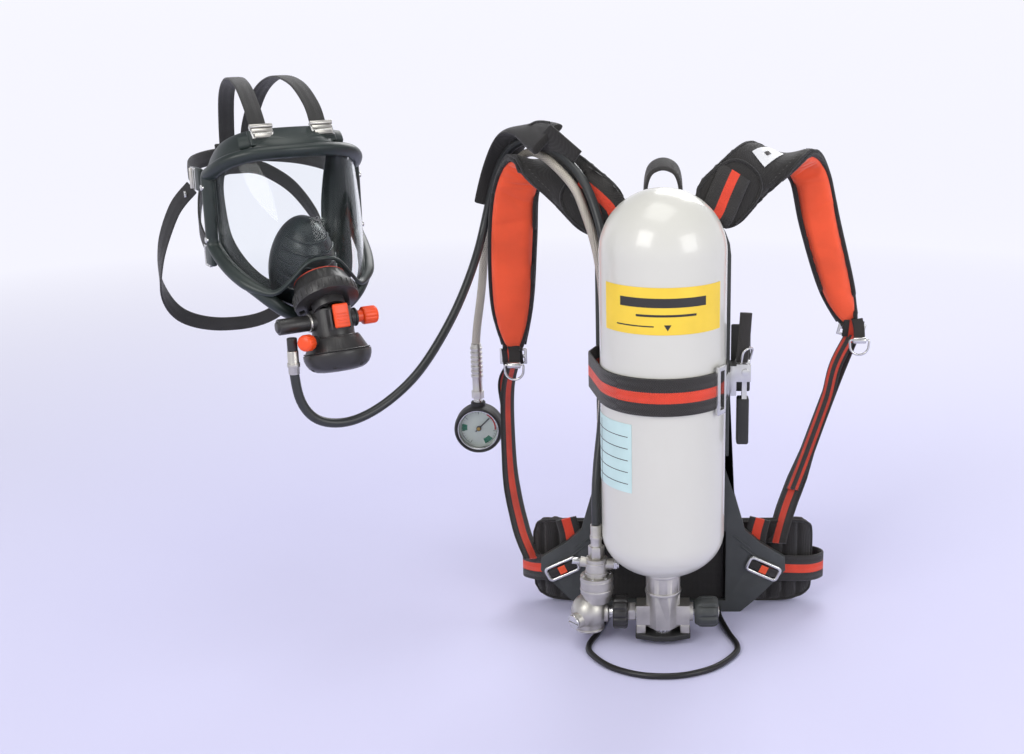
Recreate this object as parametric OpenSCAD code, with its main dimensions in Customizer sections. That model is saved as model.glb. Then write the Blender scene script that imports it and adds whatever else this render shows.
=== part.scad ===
// Firefighter's breathing apparatus: carrying frame, air cylinder, pressure reducer, gauge,
// demand valve and full-face mask. Millimetres, +Z up, standing on its foot loop.
// All routes are written about the cylinder's axis; placed() moves the whole set so that the
// middle of its footprint is the origin.

/* [Cylinder] */
// Outside diameter of the wrapped cylinder
cyl_d = 140; // [138:1:141]
// Height of the lower end of the straight wall
cyl_low = 139; // [137:1:141]
// Height of the upper end of the straight wall
cyl_high = 464; // [400:1:470]
// Wall of the carbon wrap
wrap_wall = 8; // [6:1:10]

/* [Carrying frame] */
// Half width of the back plate beside the cylinder
plate_half = 78; // [72:1:80]
// Thickness of the back plate
plate_t = 8; // [6:1:9]
// Diameter of the foot loop's rod
rod_d = 7; // [5:1:8]
// Width of the cylinder band
band_w = 42; // [36:1:46]

/* [Valve and reducer] */
// Height of the valve's cross axis
valve_z = 37; // [36:1:38]
// Diameter of the handwheel
wheel_d = 36; // [32:1:38]
// Diameter of the hand coupling
coupling_d = 40; // [36:1:42]
// Diameter of the valve spindle
spindle_d = 8; // [6:1:9]

/* [Hoses and gauge] */
// Diameter of the air hose to the mask
air_hose_d = 10.4; // [9:0.2:11]
// Diameter of the braided gauge hose
gauge_hose_d = 10.4; // [9:0.2:11]
// Diameter of the gauge's rubber boot
boot_d = 62; // [58:1:64]

/* [Mask] */
// Turn of the mask to the set's right
mask_turn = 35; // [30:1:40]
// Diameter of the mask's port ring
port_d = 70; // [66:1:74]
// Diameter of the demand valve's spigot
spigot_d = 36; // [30:1:38]
// Diameter of the demand valve's round cover
cover_d = 74; // [70:1:78]

/* [Hidden] */

cyl_r = cyl_d / 2;
plate_y = 76;                      // front face of the back plate
set_shift = [171, -73, 0];
gap = 0.3;                         // clearance between neighbours that don't touch
run = 0.05;                        // radial running clearance
band_z = 298;
latch_pin = [91, 0, 331];
reducer_x = -77;
gauge_at = [-236, 210, 194];
head_at = [-460, 129, 0];
port_at = [0, -158, 413];
port_tilt = -42;
demand_at = [4, -172, 350];
demand_tilt = -15;
inlet_at = [-399, -40, 337];
ring_left_at = [-186, 185, 284];
ring_right_at = [243, 178, 318];
cross_z = 39;                      // demand valve's cross axis above the middle of its cover

slate = [0.30, 0.33, 0.34];
black = [0.12, 0.12, 0.11];
nickel = [0.78, 0.77, 0.73];
steel = [0.80, 0.80, 0.80];
orange = [0.93, 0.30, 0.14];
rubber = [0.20, 0.24, 0.23];

// Routes, in millimetres about the cylinder's axis
air_route = [
    [-77, 0, 146], [-77, 6, 180], [-75, 20, 215], [-70, 36, 260], [-66, 44, 310],
    [-64, 48, 370], [-64, 50, 430], [-70, 62, 480], [-91, 91, 530], [-126, 128, 558],
    [-156, 166, 566], [-184, 190, 552], [-204, 204, 516], [-218, 203, 462], [-226, 186, 428],
    [-236, 158, 396], [-250, 120, 362], [-271, 76, 326], [-292, 40, 302], [-322, 8, 282],
    [-352, -16, 274], [-380, -32, 282], [-395, -39, 306], [-399, -40, 337]
];
gauge_route = [
    [-80, 50, 98], [-80, 56, 116], [-80, 60, 150], [-74, 64, 220], [-68, 66, 320],
    [-68, 66, 400], [-76, 68, 460], [-92, 84, 500], [-100, 92, 521], [-134, 123, 550],
    [-160, 178, 552], [-182, 206, 530], [-198, 220, 500], [-216, 226, 468],
    [-223, 225, 430], [-226, 220, 380], [-234, 212, 330], [-236, 210, 306]
];
pad_left = [
    [-57, 92, 481], [-87, 104, 507], [-122, 134, 531], [-157, 172, 537],
    [-178, 196, 503], [-185, 202, 440], [-188, 202, 360], [-188, 201, 300]
];
pad_right = [
    [52, 92, 487], [78, 104, 515], [113, 130, 541], [152, 168, 546],
    [176, 195, 522], [192, 202, 460], [214, 202, 384], [232, 201, 336]
];
pad_across_left = [
    [0.55, 0, 0.83], [0.70, -0.1, 0.70], [0.92, -0.3, 0.3], [0.99, -0.1, 0],
    [1, 0, 0], [1, 0, 0.02], [1, 0, 0.03], [1, 0, 0.03]
];
pad_across_right = [
    [0.55, 0, -0.83], [0.70, 0.1, -0.70], [0.92, 0.3, -0.3], [0.99, 0.1, 0],
    [1, 0, 0.08], [0.98, 0, 0.22], [0.97, 0, 0.24], [0.97, 0, 0.25]
];
pad_half_left = [39, 37, 34, 31, 31, 33, 29, 15];
pad_half_right = [39, 37, 35, 30, 27, 27, 24, 14];
pull_left = [[-188, 198, 284], [-196, 196, 250], [-196, 182, 196], [-190, 152, 140],
             [-176, 122, 92], [-160, 106, 62]];
pull_right = [[236, 196, 320], [216, 190, 268], [192, 166, 212], [168, 134, 160],
              [148, 106, 118], [138, 98, 86]];

// Shared shapes

function unit(v) = v / norm(v);
function spline(a, b, c, d, t) =
    0.5 * (2 * b + (c - a) * t + (2 * a - 5 * b + 4 * c - d) * t * t
           + (3 * b - a - 3 * c + d) * t * t * t);
function smooth(p, n) = let(last = len(p) - 1) [
    for (i = [0 : last - 1]) for (k = [0 : n - 1])
        spline(p[max(i - 1, 0)], p[i], p[i + 1], p[min(i + 2, last)], k / n),
    p[last]
];
function smooth_loop(p, n) = let(m = len(p)) [
    for (i = [0 : m - 1]) for (k = [0 : n - 1])
        spline(p[(i + m - 1) % m], p[i], p[(i + 1) % m], p[(i + 2) % m], k / n)
];
function tangents(p) = [
    for (i = [0 : len(p) - 1]) unit(p[min(i + 1, len(p) - 1)] - p[max(i - 1, 0)])
];
function loop_tangents(p) = let(m = len(p)) [
    for (i = [0 : m - 1]) unit(p[(i + 1) % m] - p[(i + m - 1) % m])
];
function square_to(n, t) = unit(n - (n * t) * t);
function carried(t, n, i = 0) =
    i >= len(t) ? [] : let(m = square_to(n, t[i])) concat([m], carried(t, m, i + 1));
function arc(r, h, z, from, to, n) = [
    for (i = [0 : n]) let(a = from + (to - from) * i / n) [r * cos(a), z + h * sin(a)]
];
function mirrored(p) = [for (i = [len(p) - 1 : -1 : 0]) [-p[i][0], p[i][1], p[i][2]]];
function flip(p) = [for (q = p) [-q[0], q[1], q[2]]];

// A closed skin over equal rings; with_ends caps it, otherwise it joins up as a ring
module skin(rings, with_ends = true) {
    s = len(rings[0]);
    m = len(rings);
    spans = with_ends ? m - 2 : m - 1;
    walls = [
        for (i = [0 : spans]) for (k = [0 : s - 1])
            let(j = (i + 1) % m, l = (k + 1) % s)
                each [[i * s + k, j * s + k, j * s + l], [i * s + k, j * s + l, i * s + l]]
    ];
    ends = with_ends ? [[for (k = [0 : s - 1]) k], [for (k = [s - 1 : -1 : 0]) (m - 1) * s + k]]
                     : [];
    polyhedron([for (r = rings) each r], concat(ends, walls), convexity = 6);
}

module tube(path, d, sides = 10, start = [1, 0, 0]) {
    t = tangents(path);
    n = carried(t, start);
    skin([
        for (i = [0 : len(path) - 1]) let(b = cross(t[i], n[i])) [
            for (k = [0 : sides - 1])
                path[i] + d / 2 * (cos(360 * k / sides) * n[i] + sin(360 * k / sides) * b)
        ]
    ]);
}

// Flat section with bevelled edges, w along a and thickness h along n, about c
function flat_ring(c, a, n, w, h, bevel) = let(x = w / 2, y = h / 2, e = bevel) [
    for (q = [[x, -y + e], [x, y - e], [x - e, y], [-x + e, y],
              [-x, y - e], [-x, -y + e], [-x + e, -y], [x - e, -y]])
        c + q[0] * a + q[1] * n
];

module strap(path, across, w, h, bevel = 0.8) {
    t = tangents(path);
    skin([
        for (i = [0 : len(path) - 1])
            let(want = is_list(across[0]) ? across[i] : across, a = square_to(want, t[i]))
                flat_ring(path[i], a, cross(t[i], a), is_list(w) ? w[i] : w, h, bevel)
    ]);
}

module placed() translate(set_shift) children();
module in_mask() placed() translate(head_at) rotate([0, 0, mask_turn]) children();
module at_port() in_mask() translate(port_at) rotate([port_tilt, 0, 0]) children();
module at_demand() in_mask() translate(demand_at) rotate([demand_tilt, 0, 0]) children();
module along_x(x) translate([x, 0, valve_z]) rotate([0, 90, 0]) children();
module at_gauge() placed() translate(gauge_at) rotate([90, 0, 0]) children();
module upright(depth) rotate([90, 0, 0]) linear_extrude(depth) children();

// Carrying frame

// Belt slides: their places on the plate's wings, seen from the front
module slide_places() for (s = [-1, 1]) translate([s * 122, 58]) rotate(-25 * s) children();

module plate_outline() {
    wing = [[95, 0], [114, 17], [131, 35], [149, 55], [148, 72], [118, 91], [99, 108], [86, 153],
            [plate_half, 204], [plate_half, 444]];
    top = [for (a = [0 : 12 : 84]) [plate_half * cos(a), 444 + 66 * sin(a)]];
    half = concat(wing, top);
    polygon(concat(half, [for (i = [len(half) - 1 : -1 : 0]) [-half[i][0], half[i][1]]]));
}

module stadium(l, w) {
    square([l - w, w], center = true);
    for (s = [-1, 1]) translate([s * (l - w) / 2, 0]) circle(d = w, $fn = 32);
}

module backplate() placed() color(slate) {
    translate([0, plate_y + plate_t, 0]) upright(plate_t) difference() {
        plate_outline();
        translate([-76, 15]) square([152, 91]);
        slide_places() stadium(34, 9);
        translate([0, 490]) stadium(62, 9);
        for (s = [-1, 1]) translate([s * 52, 200]) square([14, 130], center = true);
    }
    // stiffening edge along both sides
    for (s = [-1, 1]) translate([s * (plate_half - 3) - 2.5, plate_y - 5, 204]) cube([5, 5, 86]);
    // pegs that steady the cylinder's neck
    for (s = [-1, 1]) translate([s * 28, plate_y, 94]) rotate([98, 0, 0]) cylinder(d = 9, h = 62, $fn = 24);
}

module carry_loop() placed() color(black)
    strap(smooth([[-14, 96, 488], [-20, 96, 514], [-15, 96, 538], [0, 96, 546], [15, 96, 538],
                  [20, 96, 514], [14, 96, 488]], 4), [0, 0.9, 0.43], 24, 4);

module foot_bail() placed() color(black)
    tube(smooth([[-67, 76, 3.5], [-69, 52, 3.5], [-78, 10, 3.5], [-86, -20, 3.5],
                 [-82, -42, 3.5], [-60, -72, 3.5], [-30, -90, 3.5], [0, -95, 3.5],
                 [30, -90, 3.5], [60, -72, 3.5], [82, -42, 3.5], [86, -20, 3.5],
                 [78, 10, 3.5], [69, 52, 3.5], [67, 76, 3.5]], 4), rod_d, 10, [0, 0, 1]);

module back_pad() placed() color(black) {
    translate([-66, plate_y + plate_t, 136]) cube([132, 14, 310]);
    translate([-76, plate_y + plate_t, 8]) cube([152, 10, 104]);
}

module cylinder_saddle() placed() color(black) {
    for (z = [[150, 36], [band_z, band_w]])
        difference() {
            translate([-50, 40, z[0]]) cube([100, plate_y - 40, z[1]]);
            translate([0, 0, z[0] - 1]) cylinder(r = cyl_r + 3, h = z[1] + 2, $fn = 96);
        }
}

// Cylinder

module cylinder_shell() placed() color([0.87, 0.88, 0.87]) rotate_extrude($fn = 96)
    polygon(concat(
        arc(cyl_r, 51, cyl_low, -72, 0, 14),
        arc(cyl_r, 69, cyl_high, 0, 90, 18),
        arc(cyl_r - wrap_wall, 69 - wrap_wall, cyl_high, 90, 0, 12),
        arc(cyl_r - wrap_wall, 51 - wrap_wall, cyl_low, 0, -71, 10)));

module cylinder_liner() placed() color(steel) {
    r = cyl_r - wrap_wall - gap;
    rotate_extrude($fn = 96) polygon(concat(
        [[12, 91], [18.5, 91], [18.5, 98.5]],
        arc(r, 51 - wrap_wall - gap, cyl_low, -70, 0, 10),
        arc(r, 69 - wrap_wall - gap, cyl_high, 0, 90, 12),
        arc(r - 3, 66 - wrap_wall - gap, cyl_high, 90, 0, 12),
        arc(r - 3, 48 - wrap_wall - gap, cyl_low, 0, -70, 10), [[12, 106]]));
}

// Band outline: round the cylinder and out over the two hoses at its left rear
module band_outline(r, bulge_r, rear_r) hull() {
    circle(r, $fn = 96);
    translate([-68, 44]) circle(bulge_r, $fn = 32);
    translate([-68, 64]) circle(rear_r, $fn = 24);
}

module cylinder_band() placed() color(black) translate([0, 0, band_z]) linear_extrude(band_w)
    difference() {
        band_outline(cyl_r + 2.7, 17.5, 11.5);
        band_outline(cyl_r + 0.2, 15, 9);
    }

module band_buckle() placed() color(nickel) {
    // rectangular loop that the band passes through
    rotate([0, 0, -33]) translate([cyl_r + 5, 0, band_z + band_w / 2]) difference() {
        cube([4, 16, 54], center = true);
        cube([5, 8, 44], center = true);
    }
    // curved plate from the loop to the lever's seat
    translate([0, 0, band_z + 8]) difference() {
        cylinder(r = cyl_r + 5, h = 26, $fn = 96);
        translate([0, 0, -1]) cylinder(r = cyl_r + 3, h = 28, $fn = 96);
        translate([-100, -100, -1]) cube([200, 64, 28]);
        translate([-100, -1, -1]) cube([200, 110, 28]);
        translate([-100, -100, -1]) cube([150, 200, 28]);
    }
    // seat with two ears for the lever's pin
    translate([74, -13, band_z + 6]) cube([7, 26, 34]);
    for (s = [-1, 1]) translate([0, s * 11.5, 0]) difference() {
        translate([81, -1.5, 320]) cube([16, 3, 20]);
        translate([latch_pin[0], 3, latch_pin[2]]) rotate([90, 0, 0]) cylinder(d = 5, h = 6, $fn = 32);
    }
    translate([latch_pin[0], 13, latch_pin[2]]) rotate([90, 0, 0]) cylinder(d = 5, h = 26, $fn = 32);
}

module latch_lever() placed() color(nickel) {
    difference() {
        union() {
            translate([latch_pin[0], 9.5, latch_pin[2]]) rotate([90, 0, 0]) cylinder(d = 9, h = 19, $fn = 48);
            translate([87.5, -7, 286]) cube([5.5, 14, 44]);
        }
        translate([latch_pin[0], 14, latch_pin[2]]) rotate([90, 0, 0]) cylinder(d = 5 + 2 * run, h = 28, $fn = 48);
    }
    translate([84, -7, 254]) cube([10, 14, 44]);
}

module band_tail() placed() color(black) {
    translate([83, -9, 345]) cube([13, 4, 52]);
    translate([81.4, -9, 341]) cube([13, 12, 4]);
}

module latch_pad() placed() color(black)
    translate([76, 17, band_z + 2]) cube([22, 4, 78]);

// Valve

module valve_body() placed() color(nickel) difference() {
    union() {
        translate([0, 0, 60]) cylinder(d = 40, h = 30, $fn = 64);
        translate([0, 0, 80]) cylinder(d = 23.6, h = 28, $fn = 48);
        translate([0, 0, 22]) rotate(22.5) cylinder(r = 21, h = 44, $fn = 8);
        translate([-31, -12, valve_z - 12]) cube([62, 24, 24]);
        along_x(20) cylinder(d = 22, h = 15, $fn = 48);
    }
    along_x(-32) cylinder(d = 15.2, h = 20, $fn = 48);
    along_x(-13) cylinder(d = 6, h = 6, $fn = 32);
    along_x(-10) cylinder(d = 13, h = 19, $fn = 48);
    along_x(8) cylinder(d = spindle_d + 2 * run, h = 30, $fn = 48);
    translate([0, 0, valve_z + 2]) cylinder(d = 5, h = 80, $fn = 32);
}

module valve_handwheel() placed() color(slate) difference() {
    union() {
        along_x(37) cylinder(d = wheel_d, h = 27, $fn = 64);
        along_x(36) cylinder(d = 20, h = 2, $fn = 48);
    }
    along_x(35) cylinder(d = spindle_d, h = 24, $fn = 48);
    for (a = [0 : 45 : 315]) along_x(42) rotate(a) translate([wheel_d / 2 + 1.4, 0, 0]) cylinder(d = 6, h = 30, $fn = 24);
    for (a = [22.5 : 45 : 340]) along_x(61) rotate(a) translate([wheel_d / 2 + 3, 0, 0]) rotate([0, 30, 0]) cylinder(d = 9, h = 12, $fn = 24);
}

module valve_spindle() placed() color(steel)
    along_x(2) cylinder(d = spindle_d, h = 57, $fn = 48);

module valve_plug() placed() color("goldenrod") {
    along_x(-9.6) cylinder(d = 11, h = 6, $fn = 32);
}

module valve_guard() placed() color(nickel) {
    for (x = [-31, 20]) translate([x, -12, 14]) cube([11, 24, valve_z - 26]);
    translate([-20, 6, 14]) cube([40, 6, 8]);
}

module guard_foot() placed() color(slate) translate([0, 0, 7]) linear_extrude(7)
    polygon([[-32, 13], [-32, -11], [-10, -19], [10, -19], [32, -11], [32, 13]]);

module burst_cap() placed() color(steel) difference() {
    translate([0, -4, 14.3]) cylinder(d = 19.5, h = 7.5, $fn = 48);
    for (a = [0 : 30 : 330]) translate([0, -4, 14]) rotate(a) translate([10.4, 0, 0]) cylinder(d = 3, h = 9, $fn = 16);
}

// Reducer

module reducer_body() placed() color(nickel) difference() {
    union() {
        translate([-86, 0, 38]) sphere(d = 43, $fn = 64);
        translate([-86, 0, 17]) cylinder(d = 34, h = 20, $fn = 64);
        along_x(-76) cylinder(d = 24, h = 12, $fn = 48);
        translate([reducer_x, 0, 52]) cylinder(d = 33, h = 12, $fn = 64);
        translate([reducer_x, 0, 62]) cylinder(d = 38, h = 21, $fn = 64);
        translate([reducer_x, 0, 83]) cylinder(d = 25, h = 22, $fn = 64);
        translate([reducer_x + 10, 0, 97]) rotate([0, 90, 0]) cylinder(d = 13, h = 10, $fn = 32);
        translate([reducer_x, 10, 95]) rotate([-90, 0, 0]) cylinder(d = 12, h = 10, $fn = 32);
        translate([reducer_x - 10, 0, 99]) rotate([0, -82, 0]) cylinder(d = 12, h = 9, $fn = 32);
        translate([-102, -19, 33]) rotate([0, 0, -45]) rotate([-85, 0, 0]) cylinder(d = 19, h = 14, $fn = 48);
    }
    // piston bore and its passages
    translate([reducer_x, 0, 64]) cylinder(d = 26.1, h = 16, $fn = 64);
    translate([reducer_x, 0, 40]) cylinder(d = 8, h = 26, $fn = 32);
    translate([reducer_x, 0, 79]) cylinder(d = 6, h = 30, $fn = 32);
    along_x(-80) cylinder(d = 8, h = 20, $fn = 32);
}

module reducer_piston() placed() color(steel) {
    translate([reducer_x, 0, 66]) cylinder(d = 26, h = 4, $fn = 64);
    translate([reducer_x, 0, 56]) cylinder(d = 5, h = 10, $fn = 32);
}

module reducer_spring() placed() color(steel)
    for (z = [73.2, 75.4, 77.6]) translate([reducer_x, 0, z]) rotate_extrude($fn = 48)
        translate([10, 0]) circle(d = 2, $fn = 16);

module reducer_plugs() placed() color(steel) {
    // slotted adjusting plug, low on the front
    translate([-102, -19, 33]) rotate([0, 0, -45]) rotate([95, 0, 0]) difference() {
        cylinder(d = 17, h = 3, $fn = 48);
        translate([-9, -1, 1.6]) cube([18, 2, 2]);
    }
    // spare outlet on the left, sealed relief valve on the right
    translate([reducer_x - 10, 0, 99]) rotate([0, -82, 0]) translate([0, 0, 9]) cylinder(d = 8, h = 9, $fn = 32);
    translate([reducer_x + 20, 0, 97]) rotate([0, 90, 0]) cylinder(d = 14, h = 4, $fn = 6);
    translate([reducer_x + 24, 0, 96]) rotate([0, 90, 0]) cylinder(d = 8, h = 2, $fn = 32);
}

module coupling_spigot() placed() color(steel) difference() {
    along_x(-64) cylinder(d = 15, h = 50, $fn = 48);
    along_x(-66) cylinder(d = 6, h = 60, $fn = 32);
}

module coupling_wheel() placed() color(black) difference() {
    along_x(-58) cylinder(d = coupling_d, h = 17, $fn = 64);
    along_x(-59) cylinder(d = 15 + 2 * run, h = 20, $fn = 48);
    for (a = [0 : 30 : 330]) along_x(-59) rotate(a) translate([coupling_d / 2 + 0.6, 0, 0]) cylinder(d = 4.4, h = 20, $fn = 16);
}

module coupling_nut() placed() color(steel) difference() {
    along_x(-41) cylinder(d = 23, h = 9, $fn = 6);
    along_x(-42) cylinder(d = 15 + 2 * run, h = 12, $fn = 48);
}

// Hoses, fittings and gauge

module ferrule(d, h) { cylinder(d = d, h = h, $fn = 32); translate([0, 0, h * 0.3]) cylinder(d = d + 1.6, h = h * 0.18, $fn = 32); }

module hose_fittings() placed() color(nickel) {
    translate([reducer_x, 0, 105]) cylinder(d = 19, h = 15, $fn = 6);
    translate([reducer_x, 0, 120]) ferrule(13, 26);
    translate([reducer_x, 20, 95]) rotate([-90, 0, 0]) cylinder(d = 16, h = 9, $fn = 6);
    translate([reducer_x, 29, 95]) rotate([-82, 0, 8]) ferrule(12.6, 21);
    translate(inlet_at) ferrule(12, 26);
}

module air_hose() placed() color(black) tube(smooth(air_route, 3), air_hose_d, 8);
module gauge_hose() placed() color(nickel) tube(smooth(gauge_route, 3), gauge_hose_d, 8);

module gauge_stem() placed() color(nickel) translate([gauge_at[0], gauge_at[1], 0]) difference() {
    union() {
        translate([0, 0, 234]) cylinder(d = 16, h = 10, $fn = 6);
        translate([0, 0, 244]) cylinder(d = 12.6, h = 62, $fn = 32);
        for (k = [0 : 6]) translate([0, 0, 262 + 6 * k]) cylinder(d = 15, h = 3.4, $fn = 32);
    }
    translate([0, 0, 233]) cylinder(d = 8 + 2 * run, h = 14, $fn = 48);
}

module gauge_case() placed() color(steel) {
    translate(gauge_at) rotate([90, 0, 0]) difference() {
        translate([0, 0, -10]) cylinder(d = 54, h = 21, $fn = 96);
        translate([0, 0, -7]) cylinder(d = 50, h = 20, $fn = 96);
    }
    translate([gauge_at[0], gauge_at[1], gauge_at[2] + 26]) cylinder(d = 12, h = 11, $fn = 48);
    translate([gauge_at[0], gauge_at[1], gauge_at[2] + 37]) cylinder(d = 8, h = 10, $fn = 48);
    translate(gauge_at) rotate([90, 0, 0]) translate([0, 0, -7]) cylinder(d = 3, h = 8, $fn = 32);
}

module gauge_boot() placed() color(black) difference() {
    translate(gauge_at) rotate([90, 0, 0]) {
        translate([0, 0, -14]) cylinder(d = boot_d - 4, h = 4, $fn = 96);
        translate([0, 0, -12]) cylinder(d = boot_d, h = 22, $fn = 96);
        translate([0, 0, 10]) cylinder(d = boot_d - 4, h = 3, $fn = 96);
    }
    translate(gauge_at) rotate([90, 0, 0]) translate([0, 0, -10]) cylinder(d = 54, h = 30, $fn = 96);
    translate([gauge_at[0], gauge_at[1], gauge_at[2] + 20]) cylinder(d = 12, h = 20, $fn = 48);
}

module gauge_dial() at_gauge() color([0.88, 0.90, 0.86]) difference() {
    cylinder(d = 49.6, h = 1.2, $fn = 96);
    translate([0, 0, -1]) cylinder(d = 3, h = 4, $fn = 32);
}

module gauge_needle() at_gauge() color(black) difference() {
    union() {
        translate([0, 0, 2]) cylinder(d = 6.5, h = 2, $fn = 32);
        rotate(-45) translate([-0.7, -6, 2.4]) cube([1.4, 25, 0.9]);
    }
    translate([0, 0, -1]) cylinder(d = 2, h = 8, $fn = 24);
}

module gauge_lens() at_gauge() color([0.9, 0.95, 0.98, 0.4])
    translate([0, 0, 7]) cylinder(d = 49.6, h = 2, $fn = 96);

// Harness

module pad(path, across, half_width) {
    n = 4;
    strap(smooth(path, n), [for (v = smooth(across, n)) unit(v)],
          [for (v = smooth([for (h = half_width) [2 * h, 0]], n)) v[0]], 17, 4);
}

module shoulder_pads() placed() color(black) {
    pad(pad_left, pad_across_left, pad_half_left);
    pad(pad_right, pad_across_right, pad_half_right);
}

module hose_sleeve() placed() color(black)
    strap(smooth([[-130, 122, 569], [-156, 162, 575], [-180, 190, 562], [-202, 208, 522],
                  [-214, 210, 480]], 4),
          smooth([[0.6, 0.4, 0.7], [0.75, 0.45, 0.2], [0.85, 0.45, -0.2], [0.9, 0.4, -0.2],
                  [0.9, 0.4, -0.1]], 4), 44, 3.2);

module pull_straps() placed() color(black) {
    strap(smooth(pull_left, 5), [0.55, 0.8, 0], 24, 5);
    strap(smooth(pull_right, 5), [0.55, -0.8, 0], 24, 5);
}

module slide_frame(w, h, t, bar) difference() {
    cube([w, t, h], center = true);
    for (s = [-1, 1]) translate([0, 0, s * (h + bar) / 4 - s * 1.2]) cube([w - 7, t + 1, h / 2 - bar - 2], center = true);
}

module strap_slides() placed() color(steel) {
    translate([-188, 200, 292]) slide_frame(34, 20, 3, 3);
    translate([235, 199, 327]) rotate([0, 14, 0]) slide_frame(34, 20, 3, 3);
    translate(ring_left_at) ring_eye();
    translate(ring_right_at) ring_eye();
}

// D ring hanging from its eye; its bar turns in the eye's bore, along X at the origin
module half_disc(r, top) {
    difference() { translate([0, -7]) circle(r = r, $fn = 48); translate([-r - 1, -7]) square([2 * r + 2, r + 1]); }
    translate([-r, -7.01]) square([2 * r, top + 7.01]);
}
module d_ring() translate([0, 1.5, 0]) upright(3) difference() {
    half_disc(13, 1.5);
    half_disc(10, -1.5);
}

module ring_eye() rotate([0, 90, 0]) difference() {
    translate([0, 0, -8]) cylinder(d = 8, h = 16, $fn = 32);
    translate([0, 0, -9]) cylinder(d = 4.4, h = 18, $fn = 32);
}

module d_ring_left() placed() color(steel) translate(ring_left_at) d_ring();
module d_ring_right() placed() color(steel) translate(ring_right_at) d_ring();

module waist_pads() placed() color(black)
    strap(smooth([[-161, 122, 57], [-130, 111, 57], [-80, 106, 57], [0, 106, 57], [90, 106, 57],
                  [150, 111, 57], [186, 122, 57]], 4), [0, 0, 1], 114, 20, 6);

belt_right = [[126, 90, 55], [150, 95, 50], [182, 104, 46], [199, 120, 45], [186, 136, 45],
              [150, 124, 47], [96, 119, 50], [20, 119, 52]];
belt_left = [[-126, 90, 55], [-140, 93, 52], [-160, 104, 48], [-174, 120, 46], [-162, 136, 46],
             [-130, 124, 48], [-96, 119, 50], [-20, 119, 52]];

module waist_belt() placed() color(black)
    for (route = [belt_right, belt_left]) strap(smooth(route, 4), [0, 0, 1], 34, 3);

module belt_slides() placed() color(steel)
    translate([0, plate_y, 0]) upright(3.5) slide_places() difference() {
        stadium(44, 21);
        stadium(36, 12);
    }

// Demand valve, in the mask's directions: +Z up its own axis

module demand_body() color(black) {
    difference() {
      at_demand() difference() {
        union() {
            translate([0, 0, 4]) cylinder(d1 = cover_d - 4, d2 = 54, h = 16, $fn = 64);
            translate([0, 2, 18]) cylinder(d = 46, h = 34, $fn = 64);
            translate([-27, 0, cross_z]) rotate([0, 90, 0]) cylinder(d = 19, h = 54, $fn = 48);
            translate([-26, -10, 18]) rotate([90, 0, -50]) cylinder(d = 13, h = 10, $fn = 32);
            translate([-12, -27, 28]) cube([24, 10, 22]);
        }
        translate([0, 0, 3]) cylinder(d = 48, h = 12, $fn = 64);
        translate([0, -30, 46]) translate([-9.6, 0, -20]) cube([19.2, 8.5, 26]);
        translate([-26, -10, 18]) rotate([90, 0, -50]) translate([0, 0, 4]) cylinder(d = 8.4, h = 10, $fn = 32);
      }
      at_port() translate([0, 0, -7.5]) cylinder(d = port_d + 1.2, h = 50, $fn = 96);
    }
    at_port() difference() {
        translate([0, 0, -16]) cylinder(d = spigot_d, h = 22, $fn = 64);
        translate([0, 0, -17]) cylinder(d = spigot_d - 8, h = 24, $fn = 48);
    }
}

module demand_cover() at_demand() color(black) difference() {
    union() {
        translate([0, 0, -2]) cylinder(d = cover_d, h = 6, $fn = 64);
        translate([0, 0, -14]) cylinder(d1 = 58, d2 = cover_d, h = 12, $fn = 64);
        translate([0, 0, -18]) cylinder(d1 = 40, d2 = 58, h = 4, $fn = 64);
    }
    translate([0, 0, -11]) cylinder(d = 56, h = 20, $fn = 64);
    for (a = [0 : 60 : 300]) rotate(a) translate([22, 0, -20]) cylinder(d = 4.5, h = 12, $fn = 16);
}

module demand_diaphragm() at_demand() color(rubber) {
    translate([0, 0, -1]) cylinder(d = 47, h = 1.4, $fn = 64);
    cylinder(d = 14, h = 2.6, $fn = 32);
}

module release_latch() at_demand() color(orange)
    translate([-8.5, -32, 29]) cube([17, 5, 26]);

module bypass_knob() at_demand() color(orange) translate([27.5, 0, cross_z]) rotate([0, 90, 0])
    difference() {
        union() {
            cylinder(d = 14, h = 7, $fn = 48);
            translate([0, 0, 7]) cylinder(d = 20, h = 17, $fn = 48);
        }
        for (a = [0 : 36 : 324]) rotate(a) translate([10.6, 0, 9]) cylinder(d = 2.6, h = 20, $fn = 16);
    }

module reset_button() at_demand() color(orange)
    translate([-26, -10, 18]) rotate([90, 0, -50]) translate([0, 0, 12.4]) {
        translate([0, 0, -5.6]) cylinder(d = 7.6, h = 6, $fn = 32);
        cylinder(d = 18, h = 10, $fn = 48);
        translate([0, 0, 10]) cylinder(d1 = 18, d2 = 14, h = 3, $fn = 48);
    }

module inlet_barrel() color(black) {
    at_demand() translate([-27, 0, cross_z]) rotate([0, -90, 0]) {
        cylinder(d = 17.6, h = 34, $fn = 48);
        cylinder(d = 12, h = 36, $fn = 48);
    }
    placed() translate(inlet_at) translate([0, 0, 26]) cylinder(d = 11, h = 14, $fn = 32);
}

// Mask: x across, -y forwards, z up, about the head's upright axis

module port_ring() at_port() color(rubber) difference() {
    union() {
        translate([0, 0, -7]) cylinder(d = port_d, h = 13, $fn = 96);
        translate([0, 0, 6]) cylinder(d1 = port_d - 4, d2 = 56, h = 16, $fn = 96);
    }
    translate([0, 0, -8]) cylinder(d = spigot_d + 2 * run, h = 16, $fn = 64);
    translate([0, 0, 8]) cylinder(d = 40, h = 16, $fn = 64);
    for (a = [30 : 30 : 150]) rotate(a) translate([26, -4, -8]) cube([6, 8, 6]);
}

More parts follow.
